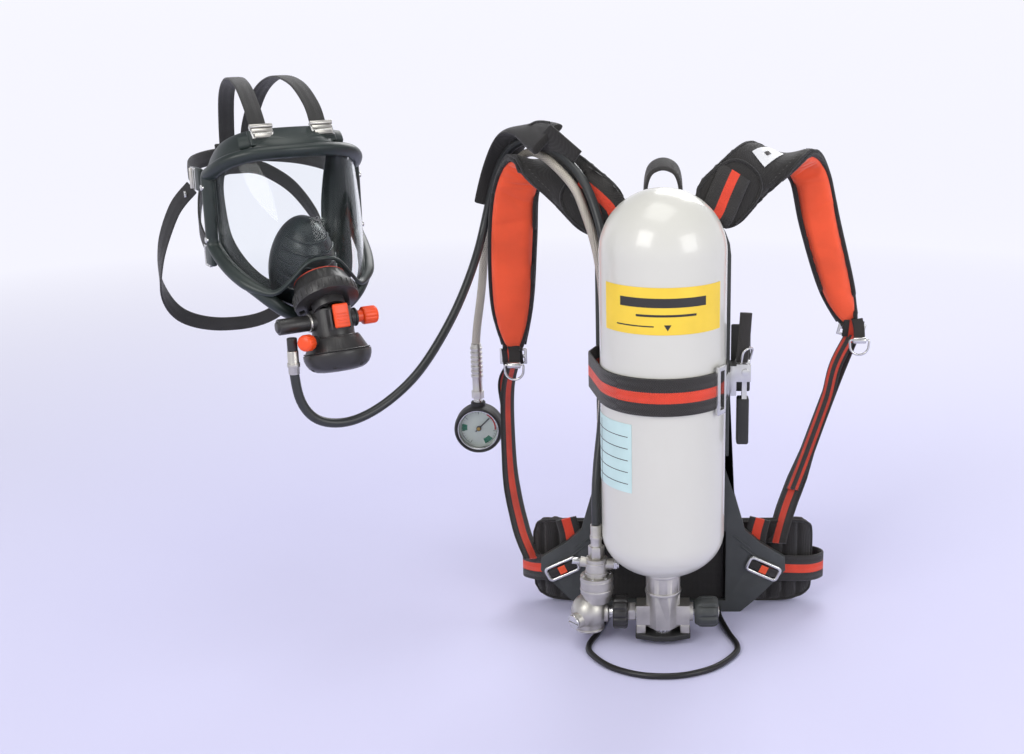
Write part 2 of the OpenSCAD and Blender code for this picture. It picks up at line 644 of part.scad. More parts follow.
module exhale_valve() at_port() color(orange) difference() {
    translate([0, 0, 9]) cylinder(d = 38, h = 1.6, $fn = 64);
    translate([0, 0, 8]) cylinder(d = 8, h = 4, $fn = 32);
}

// Point on the visor: across angle a, height z
function bulge(z) = 60 + 46 * sin(90 * min(1, max(0, (566 - z) / 104)));
function on_visor(a, z, out = 0) = [
    (81 + out) * sin(a), -52 - (bulge(z) + out) * cos(a), z
];
function visor_low(a) = lookup(abs(a), [[0, 457], [14, 453], [24, 436], [36, 421], [52, 426], [74, 446], [90, 464]]);
function visor_high(a) = 566 - 28 * pow(1 - cos(a), 1.5);

module visor() in_mask() color([0.85, 0.90, 0.92, 0.35]) {
    skin([
        for (i = [-12 : 12]) let(a = 86 * i / 12) concat(
            [for (k = [0 : 8]) let(z = visor_low(a) + (visor_high(a) - visor_low(a)) * k / 8) on_visor(a, z, 0)],
            [for (k = [8 : -1 : 0]) let(z = visor_low(a) + (visor_high(a) - visor_low(a)) * k / 8) on_visor(a, z, -2.4)])
    ]);
}

function visor_edge() = concat(
    [for (a = [-84 : 14 : 84]) on_visor(a, visor_high(a), 0)],
    [for (z = [538 : -18 : 466]) on_visor(90, z, 0)],
    [for (a = [84 : -12 : -84]) on_visor(a, visor_low(a), 0)],
    [for (z = [466 : 18 : 538]) on_visor(-90, z, 0)]);

module visor_frame() in_mask() color(rubber) {
    p = visor_edge();
    t = loop_tangents(p);
    centre = [0, -60, 500];
    skin([
        for (i = [0 : len(p) - 1])
            let(n = square_to(p[i] - centre, t[i]), b = cross(t[i], n))
                [for (k = [0 : 7]) p[i] + n * (3.4 + 6.5 * cos(45 * k + 22.5)) + b * 6.5 * sin(45 * k + 22.5)]
    ], false);
}

seal_front = [
    [24, -112, 576], [52, -94, 571], [74, -66, 556], [84, -46, 526], [84, -44, 494],
    [80, -52, 458], [68, -80, 434], [52, -108, 418], [34, -124, 404], [12, -128, 396]
];
seal_back = [
    [22, -84, 592], [48, -70, 588], [68, -44, 572], [76, -20, 540], [77, -12, 500],
    [73, -16, 460], [62, -34, 430], [46, -54, 408], [28, -66, 396], [10, -70, 391]
];

function shrink(p, by) = [for (q = p) q - by * unit([q[0], 0.35 * (q[1] + 60), q[2] - 490])];

module face_seal() in_mask() color(rubber) {
    front = smooth_loop(concat(seal_front, mirrored(seal_front)), 2);
    back = smooth_loop(concat(seal_back, mirrored(seal_back)), 2);
    front_in = shrink(front, 3);
    back_in = shrink(back, 3);
    lip = shrink(back, 20);
    skin([for (i = [0 : len(front) - 1])
        [front_in[i], lip[i] + [0, -4, 0], lip[i], back[i], front[i]]], false);
}

module nose_cup() in_mask() color(black) translate([0, -92, 436]) rotate([20, 0, 0]) difference() {
    scale([0.84, 1.1, 1.46]) sphere(d = 84, $fn = 32);
    scale([0.83, 1.1, 1.46]) sphere(d = 78, $fn = 32);
    translate([-60, 14, -60]) cube([120, 80, 120]);
    translate([-60, -90, -92]) cube([120, 160, 60]);
    translate([0, -50, -20]) rotate([60, 0, 0]) cylinder(d = 36, h = 60, center = true, $fn = 48);
}

module head_harness() in_mask() color(black) {
    for (s = [-1, 1]) {
        strap(smooth([[s * 34, -84, 588], [s * 34, -67, 612], [s * 31, -32, 634], [s * 26, 14, 639],
                      [s * 20, 58, 620], [s * 14, 88, 580], [s * 12, 98, 540]], 3), [1, 0, 0], 19, 2.6);
        strap(smooth([[s * 82, 4, 532], [s * 79, 34, 536], [s * 62, 70, 540], [s * 34, 95, 542], [s * 10, 102, 542]], 3),
              [0, 0, 1], 19, 2.6);
        strap(smooth([[s * 70, 12, 444], [s * 70, 40, 470], [s * 56, 72, 502], [s * 32, 94, 522], [s * 12, 101, 528]], 3),
              [0, 0, 1], 17, 2.6);
    }
}

module buckle() difference() {
    cube([25, 4, 17], center = true);
    translate([0, 0, 4.2]) cube([20, 6, 3.6], center = true);
    translate([0, 0, -4.2]) cube([20, 6, 3.6], center = true);
}

module harness_buckles() in_mask() color(nickel) {
    for (s = [-1, 1]) {
        translate([s * 34, -92, 588]) rotate([-40, 0, 0]) buckle();
        translate([s * 84, -2, 532]) rotate([0, 90, 90]) rotate([0, 0, 0]) buckle();
        translate([s * 73, 8, 441]) rotate([0, 90, 90]) buckle();
    }
}

module neck_strap() in_mask() color(black)
    strap(smooth([[-84, 12, 520], [-100, 34, 492], [-112, 60, 440], [-108, 84, 390], [-82, 100, 352],
                  [-30, 106, 334], [30, 104, 340], [76, 84, 390], [92, 44, 460], [88, 12, 516]], 4),
          [0, 0, 1], 17, 2.2);

backplate();
carry_loop();
foot_bail();
back_pad();
cylinder_saddle();
cylinder_shell();
cylinder_liner();
cylinder_band();
band_buckle();
latch_lever();
band_tail();
latch_pad();
valve_body();
valve_handwheel();
valve_spindle();
valve_plug();
valve_guard();
guard_foot();
burst_cap();
reducer_body();
reducer_piston();
reducer_spring();
reducer_plugs();
coupling_spigot();
coupling_wheel();
coupling_nut();
hose_fittings();
air_hose();
gauge_hose();
gauge_stem();
gauge_case();
gauge_boot();
gauge_dial();
gauge_needle();
gauge_lens();
shoulder_pads();
hose_sleeve();
pull_straps();
strap_slides();
d_ring_left();
d_ring_right();
waist_pads();
waist_belt();
belt_slides();
demand_body();
demand_cover();
demand_diaphragm();
release_latch();
bypass_knob();
reset_button();
inlet_barrel();
port_ring();
exhale_valve();
visor();
visor_frame();
face_seal();
nose_cup();
head_harness();
harness_buckles();
neck_strap();
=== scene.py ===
"""Visible pieces of a firefighter's breathing apparatus, built round its CAD frame. Metres, +Z up."""

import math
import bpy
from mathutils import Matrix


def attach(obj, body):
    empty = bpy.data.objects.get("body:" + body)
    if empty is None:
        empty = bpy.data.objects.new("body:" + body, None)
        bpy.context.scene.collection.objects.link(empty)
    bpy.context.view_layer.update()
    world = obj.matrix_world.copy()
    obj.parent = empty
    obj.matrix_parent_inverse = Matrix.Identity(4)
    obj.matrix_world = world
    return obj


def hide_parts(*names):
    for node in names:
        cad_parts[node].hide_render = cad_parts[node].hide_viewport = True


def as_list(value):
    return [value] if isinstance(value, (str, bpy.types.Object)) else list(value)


bl_info = {
    "name": "Firefighter's breathing apparatus",
    "version": (1, 0, 0),
    "blender": (4, 5, 0),
    "location": "3D View > Sidebar > Breathing set",
    "description": "Builds the visible pieces of a breathing apparatus round its CAD frame",
    "category": "Add Mesh",
}

import bmesh
import bpy
from mathutils import Matrix, Vector, geometry
from mathutils.bvhtree import BVHTree

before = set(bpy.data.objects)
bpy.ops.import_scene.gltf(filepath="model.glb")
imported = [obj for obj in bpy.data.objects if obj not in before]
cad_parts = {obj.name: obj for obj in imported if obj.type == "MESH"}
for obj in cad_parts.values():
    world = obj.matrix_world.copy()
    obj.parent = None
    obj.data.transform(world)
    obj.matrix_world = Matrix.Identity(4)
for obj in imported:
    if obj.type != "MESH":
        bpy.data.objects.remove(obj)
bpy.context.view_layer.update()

SHIFT = Vector((0.171, -0.073, 0.0))  # from the cylinder's axis to the middle of the footprint
CYLINDER_RADIUS = 0.070
BAND_LOW = 0.298
PLATE_FRONT = 0.076
X_AXIS, Y_AXIS, Z_AXIS = Vector((1, 0, 0)), Vector((0, 1, 0)), Vector((0, 0, 1))


def linear(red, green, blue):
    """A colour given as 0 to 255, as Blender's linear colour."""
    def value(c):
        c /= 255
        return c / 12.92 if c <= 0.04045 else ((c + 0.055) / 1.055) ** 2.4
    return (value(red), value(green), value(blue), 1.0)


def mm(x, y, z):
    return Vector((x, y, z)) * 0.001


def at(x, y, z):
    """A point given in millimetres about the cylinder's axis."""
    return mm(x, y, z) + SHIFT


MASK = Matrix.Translation(at(-460, 129, 0)) @ Matrix.Rotation(math.radians(35), 4, "Z")
PORT = MASK @ Matrix.Translation(mm(0, -158, 413)) @ Matrix.Rotation(math.radians(-42), 4, "X")
DEMAND = MASK @ Matrix.Translation(mm(4, -172, 350)) @ Matrix.Rotation(math.radians(-15), 4, "X")
GAUGE = Matrix.Translation(at(-236, 210, 194)) @ Matrix.Rotation(math.radians(90), 4, "X")


class BreathingSetSettings(bpy.types.PropertyGroup):
    """Sizes and colours of the breathing set."""

    air_hose_width: bpy.props.FloatProperty(
        name="Air hose", description="Outside diameter of the air hose",
        default=0.0104, min=0.009, max=0.011, unit="LENGTH")
    gauge_hose_width: bpy.props.FloatProperty(
        name="Gauge hose", description="Outside diameter of the braided gauge hose",
        default=0.0104, min=0.009, max=0.011, unit="LENGTH")
    stripe_half_width: bpy.props.FloatProperty(
        name="Stripe", description="Half the width of the stripe woven into the webbing",
        default=0.0055, min=0.002, max=0.01, unit="LENGTH")
    weave_pitch: bpy.props.FloatProperty(
        name="Weave", description="Distance between two threads of the pad cloth",
        default=0.0013, min=0.0005, max=0.004, unit="LENGTH")
    pad_swell: bpy.props.FloatProperty(
        name="Pad swell", description="Furthest that a padded piece swells",
        default=0.004, min=0.0, max=0.008, unit="LENGTH")
    cylinder_colour: bpy.props.FloatVectorProperty(
        name="Cylinder", description="Coat of the air cylinder",
        default=linear(214, 213, 203), size=4, min=0, max=1, subtype="COLOR")
    cloth_colour: bpy.props.FloatVectorProperty(
        name="Cloth", description="Black cloth and webbing of the harness",
        default=linear(31, 29, 27), size=4, min=0, max=1, subtype="COLOR")
    lining_colour: bpy.props.FloatVectorProperty(
        name="Lining", description="Lining of the shoulder pads",
        default=linear(252, 82, 40), size=4, min=0, max=1, subtype="COLOR")
    stripe_colour: bpy.props.FloatVectorProperty(
        name="Stripe", description="Stripe of the webbing",
        default=linear(234, 64, 30), size=4, min=0, max=1, subtype="COLOR")
    accent_colour: bpy.props.FloatVectorProperty(
        name="Controls", description="Latch and knobs of the demand valve",
        default=linear(247, 78, 24), size=4, min=0, max=1, subtype="COLOR")
    frame_colour: bpy.props.FloatVectorProperty(
        name="Carrying frame", description="Moulded back plate and handwheel",
        default=linear(60, 63, 61), size=4, min=0, max=1, subtype="COLOR")
    nickel_colour: bpy.props.FloatVectorProperty(
        name="Nickel", description="Plated valve and reducer",
        default=linear(206, 203, 195), size=4, min=0, max=1, subtype="COLOR")
    rubber_colour: bpy.props.FloatVectorProperty(
        name="Mask rubber", description="Frame and seal of the mask",
        default=linear(36, 45, 42), size=4, min=0, max=1, subtype="COLOR")


def settings():
    return bpy.context.scene.breathing_set


# Working on pieces


def select_only(piece):
    if bpy.context.object and bpy.context.object.mode != "OBJECT":
        bpy.ops.object.mode_set(mode="OBJECT")
    bpy.ops.object.select_all(action="DESELECT")
    bpy.context.view_layer.objects.active = piece
    piece.select_set(True)


def apply_modifiers(piece):
    select_only(piece)
    for modifier in list(piece.modifiers):
        bpy.ops.object.modifier_apply(modifier=modifier.name)
    return piece


def settle(piece):
    """Puts the piece's place into its mesh."""
    select_only(piece)
    bpy.ops.object.transform_apply(location=True, rotation=True, scale=True)
    return piece


def moved(piece, matrix):
    piece.data.transform(matrix)
    piece.data.update()
    return piece


def from_rows(name, points, faces, uvs=None):
    """A mesh object from points and faces; uvs holds one pair for each corner of each face."""
    mesh = bpy.data.meshes.new(name)
    mesh.from_pydata([tuple(p) for p in points], [], faces)
    if uvs:
        layer = mesh.uv_layers.new(name="UVMap")
        flat = [value for pair in uvs for value in pair]
        layer.data.foreach_set("uv", flat)
    piece = bpy.data.objects.new(name, mesh)
    bpy.context.scene.collection.objects.link(piece)
    return piece


def face_outwards(piece):
    work = bmesh.new()
    work.from_mesh(piece.data)
    bmesh.ops.recalc_face_normals(work, faces=work.faces)
    work.to_mesh(piece.data)
    work.free()
    return piece


def soften(piece, width=0.0006, segments=2, sharper_than=35):
    bevel = piece.modifiers.new("Edges", "BEVEL")
    bevel.width = width
    bevel.segments = segments
    bevel.limit_method = "ANGLE"
    bevel.angle_limit = math.radians(sharper_than)
    bevel.harden_normals = False
    return apply_modifiers(piece)


def subdivide(piece, levels=1):
    smoother = piece.modifiers.new("Smoother", "SUBSURF")
    smoother.levels = smoother.render_levels = levels
    return apply_modifiers(piece)


def finished(piece, name, body, finish, nodes=(), smooth=35):
    """Gives a finished piece its name, material, body and slot, and hides the CAD nodes that it stands for."""
    piece.name = name
    piece.data.name = name
    piece.data.materials.clear()
    piece.data.materials.append(finish)
    select_only(piece)
    if smooth:
        bpy.ops.object.shade_smooth_by_angle(angle=math.radians(smooth))
    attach(piece, body)
    if nodes:
        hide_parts(*nodes)
    return piece


def copy_of(node, width=0.0006, segments=2, sharper_than=35):
    """The CAD node's shape as a clean mesh with its edges rounded."""
    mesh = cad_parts[node].data.copy()
    piece = bpy.data.objects.new(node + "_copy", mesh)
    bpy.context.scene.collection.objects.link(piece)
    select_only(piece)
    bpy.ops.object.mode_set(mode="EDIT")
    bpy.ops.mesh.select_all(action="SELECT")
    bpy.ops.mesh.remove_doubles(threshold=2e-6)
    bpy.ops.mesh.dissolve_limited(angle_limit=math.radians(1.0))
    bpy.ops.object.mode_set(mode="OBJECT")
    if width:
        soften(piece, width, segments, sharper_than)
    return piece


def refine(node, body, finish, width=0.0006, segments=2, name=None, sharper_than=35):
    return finished(copy_of(node, width, segments, sharper_than), name or node + "_finished",
                    body, finish, [node])


def joined(pieces):
    bpy.ops.object.select_all(action="DESELECT")
    for piece in pieces:
        piece.select_set(True)
    bpy.context.view_layer.objects.active = pieces[0]
    bpy.ops.object.join()
    return pieces[0]


# Lines


def smooth(points, steps):
    """The points with Catmull-Rom steps between them, as the CAD routes have."""
    points = [Vector(p) for p in points]
    last = len(points) - 1
    line = []
    for i in range(last):
        a, b = points[max(i - 1, 0)], points[i]
        c, d = points[i + 1], points[min(i + 2, last)]
        for k in range(steps):
            t = k / steps
            line.append(0.5 * (2 * b + (c - a) * t + (2 * a - 5 * b + 4 * c - d) * t * t
                               + (3 * b - a - 3 * c + d) * t ** 3))
    return line + [points[last]]


def smooth_loop(points, steps):
    count = len(points)
    line = []
    for i in range(count):
        a, b, c, d = (Vector(points[(i + k) % count]) for k in (-1, 0, 1, 2))
        for k in range(steps):
            t = k / steps
            line.append(0.5 * (2 * b + (c - a) * t + (2 * a - 5 * b + 4 * c - d) * t * t
                               + (3 * b - a - 3 * c + d) * t ** 3))
    return line


def directions(line, closed=False):
    count = len(line)
    if closed:
        return [(line[(i + 1) % count] - line[i - 1]).normalized() for i in range(count)]
    return [(line[min(i + 1, count - 1)] - line[max(i - 1, 0)]).normalized() for i in range(count)]


def square_to(across, along):
    return (across - across.dot(along) * along).normalized()


def eased(line, times=14):
    """The line with small kinks relaxed and its ends kept."""
    line = list(line)
    for _ in range(times):
        line = [line[0]] + [(a + 2 * b + c) / 4 for a, b, c in zip(line, line[1:], line[2:])] + [line[-1]]
    return line


def line_length(line):
    return sum((b - a).length for a, b in zip(line, line[1:]))


def sweep(name, rings, offsets, closed=False):
    """A skin over rings of points. offsets holds the u of each ring point, and v is the length along."""
    count, size = len(rings), len(rings[0])
    lengths = [0.0]
    for i in range(1, count + 1):
        step = (sum(rings[i % count], Vector()) - sum(rings[i - 1], Vector())).length / size
        lengths.append(lengths[-1] + step)
    faces, uvs = [], []
    for i in range(count if closed else count - 1):
        j = (i + 1) % count
        for k in range(size):
            n = (k + 1) % size
            faces.append((i * size + k, i * size + n, j * size + n, j * size + k))
            uvs += [(offsets[k], lengths[i]), (offsets[k + 1], lengths[i]),
                    (offsets[k + 1], lengths[i + 1]), (offsets[k], lengths[i + 1])]
    if not closed:
        faces.append(tuple(range(size - 1, -1, -1)))
        uvs += [(offsets[k], lengths[0]) for k in range(size - 1, -1, -1)]
        faces.append(tuple((count - 1) * size + k for k in range(size)))
        uvs += [(offsets[k], lengths[count - 1]) for k in range(size)]
    piece = from_rows(name, [p for ring in rings for p in ring], faces, uvs)
    return face_outwards(piece)


def tube(name, line, width, sides=16, closed=False, start=X_AXIS, swell=None):
    """A round tube along the line; u goes once round and v is the length."""
    along = directions(line, closed)
    normal = square_to(start, along[0])
    rings = []
    for i, (point, way) in enumerate(zip(line, along)):
        normal = square_to(normal, way)
        side = way.cross(normal)
        radius = width / 2 * (swell[i] if swell else 1)
        rings.append([point + radius * (math.cos(2 * math.pi * k / sides) * normal
                                        + math.sin(2 * math.pi * k / sides) * side)
                      for k in range(sides)])
    return sweep(name, rings, [k / sides for k in range(sides + 1)], closed)


def strip_section(width, thickness, crown=0.0):
    """Half-round ended flat section as (across, out) pairs."""
    half, deep = width / 2, thickness / 2
    end = min(deep, half)
    section = []
    inner = half - end
    for k in range(7):
        x = -inner + 2 * inner * k / 6
        section.append((x, deep + crown * (1 - (x / inner) ** 2)))
    for k in (1, 2, 3):
        a = math.radians(90 - 45 * k)
        section.append((inner + end * math.cos(a), deep * math.sin(a)))
    for k in range(1, 7):
        x = inner - 2 * inner * k / 6
        section.append((x, -deep - crown * (1 - (x / inner) ** 2)))
    for k in (1, 2, 3):
        a = math.radians(270 - 45 * k)
        if k < 3:
            section.append((-inner + end * math.cos(a), deep * math.sin(a)))
    return section


def webbing(name, line, across, width, thickness, crown=0.0, closed=False):
    """A flat woven strap along the line. across is one direction or one for each point."""
    along = directions(line, closed)
    rings = []
    for i, (point, way) in enumerate(zip(line, along)):
        want = across[i] if isinstance(across, list) else across
        side = square_to(want, way)
        out = way.cross(side)
        wide = width[i] if isinstance(width, list) else width
        rings.append([point + x * side + y * out for x, y in strip_section(wide, thickness, crown)])
    section = strip_section(max(width) if isinstance(width, list) else width, thickness, crown)
    offsets = [x for x, _ in section] + [section[0][0]]
    return sweep(name, rings, offsets, closed)


def spun(name, profile, sides=96):
    """A shape turned about Z from (radius, height) pairs. Points on the axis are merged."""
    points = [(r, 0, z) for r, z in profile]
    piece = from_rows(name, points, [])
    work = bmesh.new()
    work.from_mesh(piece.data)
    work.verts.ensure_lookup_table()
    edges = [work.edges.new((work.verts[i], work.verts[i + 1])) for i in range(len(points) - 1)]
    if points[0] != points[-1] and min(profile[0][0], profile[-1][0]) > 1e-6:
        edges.append(work.edges.new((work.verts[-1], work.verts[0])))
    bmesh.ops.spin(work, geom=edges + work.verts[:], axis=(0, 0, 1), cent=(0, 0, 0),
                   angle=2 * math.pi, steps=sides, use_merge=True)
    bmesh.ops.remove_doubles(work, verts=work.verts, dist=1e-6)
    bmesh.ops.recalc_face_normals(work, faces=work.faces)
    work.to_mesh(piece.data)
    work.free()
    return piece


def drum(radius, low, high, sides=64, edge=0.0006, matrix=None, hollow=0.0):
    """A short round bar with its rims rounded, or a ring where hollow is its bore."""
    e = min(edge, (high - low) / 3, radius / 3)
    if hollow:
        profile = [(hollow, low + e), (hollow + e, low), (radius - e, low), (radius, low + e),
                   (radius, high - e), (radius - e, high), (hollow + e, high), (hollow, high - e)]
    else:
        profile = [(0, low), (radius - e, low), (radius - 0.3 * e, low + 0.3 * e), (radius, low + e),
                   (radius, high - e), (radius - 0.3 * e, high - 0.3 * e), (radius - e, high), (0, high)]
    piece = spun("drum", profile, sides)
    return moved(piece, matrix) if matrix else piece


def block(size, centre, matrix=None, edge=0.0008, segments=3):
    """A block with rounded edges, from a cube primitive."""
    bpy.ops.object.select_all(action="DESELECT")
    bpy.ops.mesh.primitive_cube_add(size=1, location=centre)
    piece = bpy.context.object
    piece.scale = size
    settle(piece)
    if edge:
        soften(piece, edge, segments)
    return moved(piece, matrix) if matrix else piece


def extruded(name, outline, thickness, matrix=None, edge=0.0006):
    """A flat outline in XY given thickness along +Z, with rounded edges."""
    count = len(outline)
    points = [(x, y, 0) for x, y in outline] + [(x, y, thickness) for x, y in outline]
    faces = [tuple(range(count - 1, -1, -1)), tuple(range(count, 2 * count))]
    faces += [(i, (i + 1) % count, count + (i + 1) % count, count + i) for i in range(count)]
    piece = face_outwards(from_rows(name, points, faces))
    if edge:
        soften(piece, edge, 2)
    return moved(piece, matrix) if matrix else piece


# Finishes


def add(tree, kind, inputs=None, **attributes):
    made = tree.nodes.new(kind)
    for key, value in attributes.items():
        setattr(made, key, value)
    for key, value in (inputs or {}).items():
        if isinstance(value, bpy.types.NodeSocket):
            tree.links.new(value, made.inputs[key])
        else:
            made.inputs[key].default_value = value
    return made


def calc(tree, operation, first, second=0.0, third=0.0):
    made = tree.nodes.new("ShaderNodeMath")
    made.operation = operation
    for i, value in enumerate((first, second, third)):
        if isinstance(value, bpy.types.NodeSocket):
            tree.links.new(value, made.inputs[i])
        else:
            made.inputs[i].default_value = value
    return made.outputs[0]


def new_finish(name, roughness, metallic=0.0, **sockets):
    made = bpy.data.materials.new(name)
    made.use_nodes = True
    shader = made.node_tree.nodes["Principled BSDF"]
    shader.inputs["Roughness"].default_value = roughness
    shader.inputs["Metallic"].default_value = metallic
    for key, value in sockets.items():
        shader.inputs[key.replace("_", " ")].default_value = value
    return made, made.node_tree, shader


def shade(colour, amount):
    return tuple(min(1, c * amount) for c in colour[:3]) + (1.0,)


def place_of(tree):
    return add(tree, "ShaderNodeTexCoord").outputs["Object"]


def noise(tree, scale, detail=3.0, coords=None, rough=0.5):
    return add(tree, "ShaderNodeTexNoise",
               {"Vector": coords or place_of(tree), "Scale": scale, "Detail": detail,
                "Roughness": rough}).outputs["Fac"]


def between(tree, factor, low, high):
    """Stretches a pattern so that low to high becomes 0 to 1."""
    return add(tree, "ShaderNodeMapRange", {"Value": factor, "From Min": low, "From Max": high}).outputs["Result"]


def mixed(tree, factor, first, second):
    made = tree.nodes.new("ShaderNodeMix")
    made.data_type = "RGBA"
    for key, value in ((0, factor), (6, first), (7, second)):
        if isinstance(value, bpy.types.NodeSocket):
            tree.links.new(value, made.inputs[key])
        else:
            made.inputs[key].default_value = value
    return made.outputs[2]


def bump(tree, shader, height, depth, strength=0.6, under=None):
    inputs = {"Height": height, "Distance": depth, "Strength": strength}
    made = add(tree, "ShaderNodeBump", inputs)
    if under:
        tree.links.new(under, made.inputs["Normal"])
    tree.links.new(made.outputs["Normal"], shader.inputs["Normal"])
    return made.outputs["Normal"]


def worn_edges(tree, amount=0.5):
    """1 where edges are rubbed, from the surface's pointiness broken up by noise."""
    pointed = add(tree, "ShaderNodeNewGeometry").outputs["Pointiness"]
    rubbed = between(tree, pointed, 0.52, 0.58)
    return calc(tree, "MULTIPLY", calc(tree, "MULTIPLY", rubbed, noise(tree, 160, 4)), amount)


def moulded(name, colour, roughness=0.5, grain=900, depth=0.00012, wear=0.35, **sockets):
    """Moulded plastic or rubber: fine grain, faint mottling and rubbed edges."""
    made, tree, shader = new_finish(name, roughness, **sockets)
    mottle = between(tree, noise(tree, 35, 5), 0.3, 0.7)
    body = mixed(tree, mottle, shade(colour, 0.85), shade(colour, 1.15))
    tree.links.new(mixed(tree, worn_edges(tree, wear), body, shade(colour, 2.2)), shader.inputs["Base Color"])
    rough = add(tree, "ShaderNodeMapRange", {"Value": noise(tree, 120, 4), "To Min": roughness - 0.04,
                                             "To Max": roughness + 0.1}).outputs["Result"]
    tree.links.new(rough, shader.inputs["Roughness"])
    bump(tree, shader, noise(tree, grain, 2), depth, 0.5)
    return made


def plated(name, colour, roughness=0.28, grain=600, depth=0.00005, dull=0.12, metallic=0.92, streak=None):
    """Plated or bare metal: satin grain, smears and darker corners."""
    made, tree, shader = new_finish(name, roughness, metallic)
    smear = between(tree, noise(tree, 55, 6), 0.35, 0.75)
    tree.links.new(mixed(tree, smear, colour, shade(colour, 0.78)), shader.inputs["Base Color"])
    rough = add(tree, "ShaderNodeMapRange", {"Value": noise(tree, 90, 5), "To Min": roughness - 0.06,
                                             "To Max": roughness + dull}).outputs["Result"]
    tree.links.new(rough, shader.inputs["Roughness"])
    if streak:
        turned = add(tree, "ShaderNodeMapping", {"Vector": place_of(tree), "Scale": streak}).outputs["Vector"]
        bump(tree, shader, noise(tree, 1, 3, turned), depth, 0.5)
    else:
        bump(tree, shader, noise(tree, grain, 3), depth, 0.5)
    return made


def waves(tree, value, pitch):
    return calc(tree, "SINE", calc(tree, "MULTIPLY", value, 2 * math.pi / pitch))


def cloth(name, colour, pitch, depth=0.00025, sheen=0.25, light=1.35, roughness=0.85, use_uv=False):
    """Plain woven cloth: threads over and under, fluff and slow colour change."""
    made, tree, shader = new_finish(name, roughness, Sheen_Weight=sheen, Sheen_Roughness=0.45)
    if use_uv:
        split = add(tree, "ShaderNodeSeparateXYZ", {"Vector": add(tree, "ShaderNodeTexCoord").outputs["UV"]})
        weave = calc(tree, "MULTIPLY", waves(tree, split.outputs[0], pitch), waves(tree, split.outputs[1], pitch))
    else:
        split = add(tree, "ShaderNodeSeparateXYZ", {"Vector": place_of(tree)})
        x, y, z = (waves(tree, split.outputs[i], pitch * 1.2) for i in range(3))
        weave = calc(tree, "ADD", calc(tree, "MULTIPLY", x, z), calc(tree, "MULTIPLY", y, calc(tree, "ADD", z, x)))
    fluff = noise(tree, 420, 4)
    slow = between(tree, noise(tree, 18, 4), 0.3, 0.7)
    body = mixed(tree, slow, shade(colour, 0.8), shade(colour, light))
    # painted highlight: the tops of the threads are mixed towards a lighter colour
    thread_highlight = between(tree, weave, -1.0, 1.0)
    tree.links.new(mixed(tree, calc(tree, "MULTIPLY", thread_highlight, 0.35), body, shade(colour, 1.9)),
                   shader.inputs["Base Color"])
    height = calc(tree, "ADD", weave, calc(tree, "MULTIPLY", fluff, 0.8))
    bump(tree, shader, height, depth, 0.6)
    return made


def woven(name, colour, stripe, stripes, rib=0.0021, depth=0.0003):
    """Ribbed webbing from its UV map, in metres: u across and v along. stripes are (middle, half width)."""
    made, tree, shader = new_finish(name, 0.78, Sheen_Weight=0.3, Sheen_Roughness=0.4)
    split = add(tree, "ShaderNodeSeparateXYZ", {"Vector": add(tree, "ShaderNodeTexCoord").outputs["UV"]})
    u, v = split.outputs[0], split.outputs[1]
    skew = calc(tree, "ADD", v, calc(tree, "MULTIPLY", calc(tree, "PINGPONG", u, 0.0042), 0.9))
    ribs = waves(tree, skew, rib)
    cords = waves(tree, u, 0.0014)
    height = calc(tree, "ADD", ribs, calc(tree, "MULTIPLY", cords, 0.5))
    slow = between(tree, noise(tree, 40, 4), 0.3, 0.7)
    body = mixed(tree, slow, shade(colour, 0.8), shade(colour, 1.3))
    for middle, half in stripes:
        off = calc(tree, "ABSOLUTE", calc(tree, "SUBTRACT", u, middle))
        ragged = calc(tree, "ADD", off, calc(tree, "MULTIPLY", ribs, 0.00022))
        inside = calc(tree, "LESS_THAN", ragged, half)
        body = mixed(tree, inside, body, mixed(tree, slow, shade(stripe, 0.85), shade(stripe, 1.1)))
    lit = calc(tree, "MULTIPLY", between(tree, ribs, -1, 1), 0.16)
    tree.links.new(mixed(tree, lit, body, mixed(tree, 0.5, body, (0.35, 0.33, 0.31, 1))), shader.inputs["Base Color"])
    bump(tree, shader, height, depth, 0.7)
    return made


def braided(name, colour, around=14, pitch=0.0052):
    """Crossing strands round a hose, from its UV map: u once round, v the length in metres."""
    made, tree, shader = new_finish(name, 0.38, 0.55)
    split = add(tree, "ShaderNodeSeparateXYZ", {"Vector": add(tree, "ShaderNodeTexCoord").outputs["UV"]})
    turn = calc(tree, "MULTIPLY", split.outputs[0], around * 2 * math.pi)
    run = calc(tree, "MULTIPLY", split.outputs[1], 2 * math.pi / pitch)
    one = calc(tree, "SINE", calc(tree, "ADD", turn, run))
    two = calc(tree, "SINE", calc(tree, "SUBTRACT", turn, run))
    height = calc(tree, "MAXIMUM", one, two)
    # painted shade: the braid colour darkens to 0.35 times in the troughs between the strands
    gap = between(tree, height, -0.4, 0.7)
    dirt = between(tree, noise(tree, 70, 5), 0.3, 0.7)
    tree.links.new(mixed(tree, gap, shade(colour, 0.35), mixed(tree, dirt, colour, shade(colour, 0.85))),
                   shader.inputs["Base Color"])
    bump(tree, shader, height, 0.00035, 0.8)
    return made


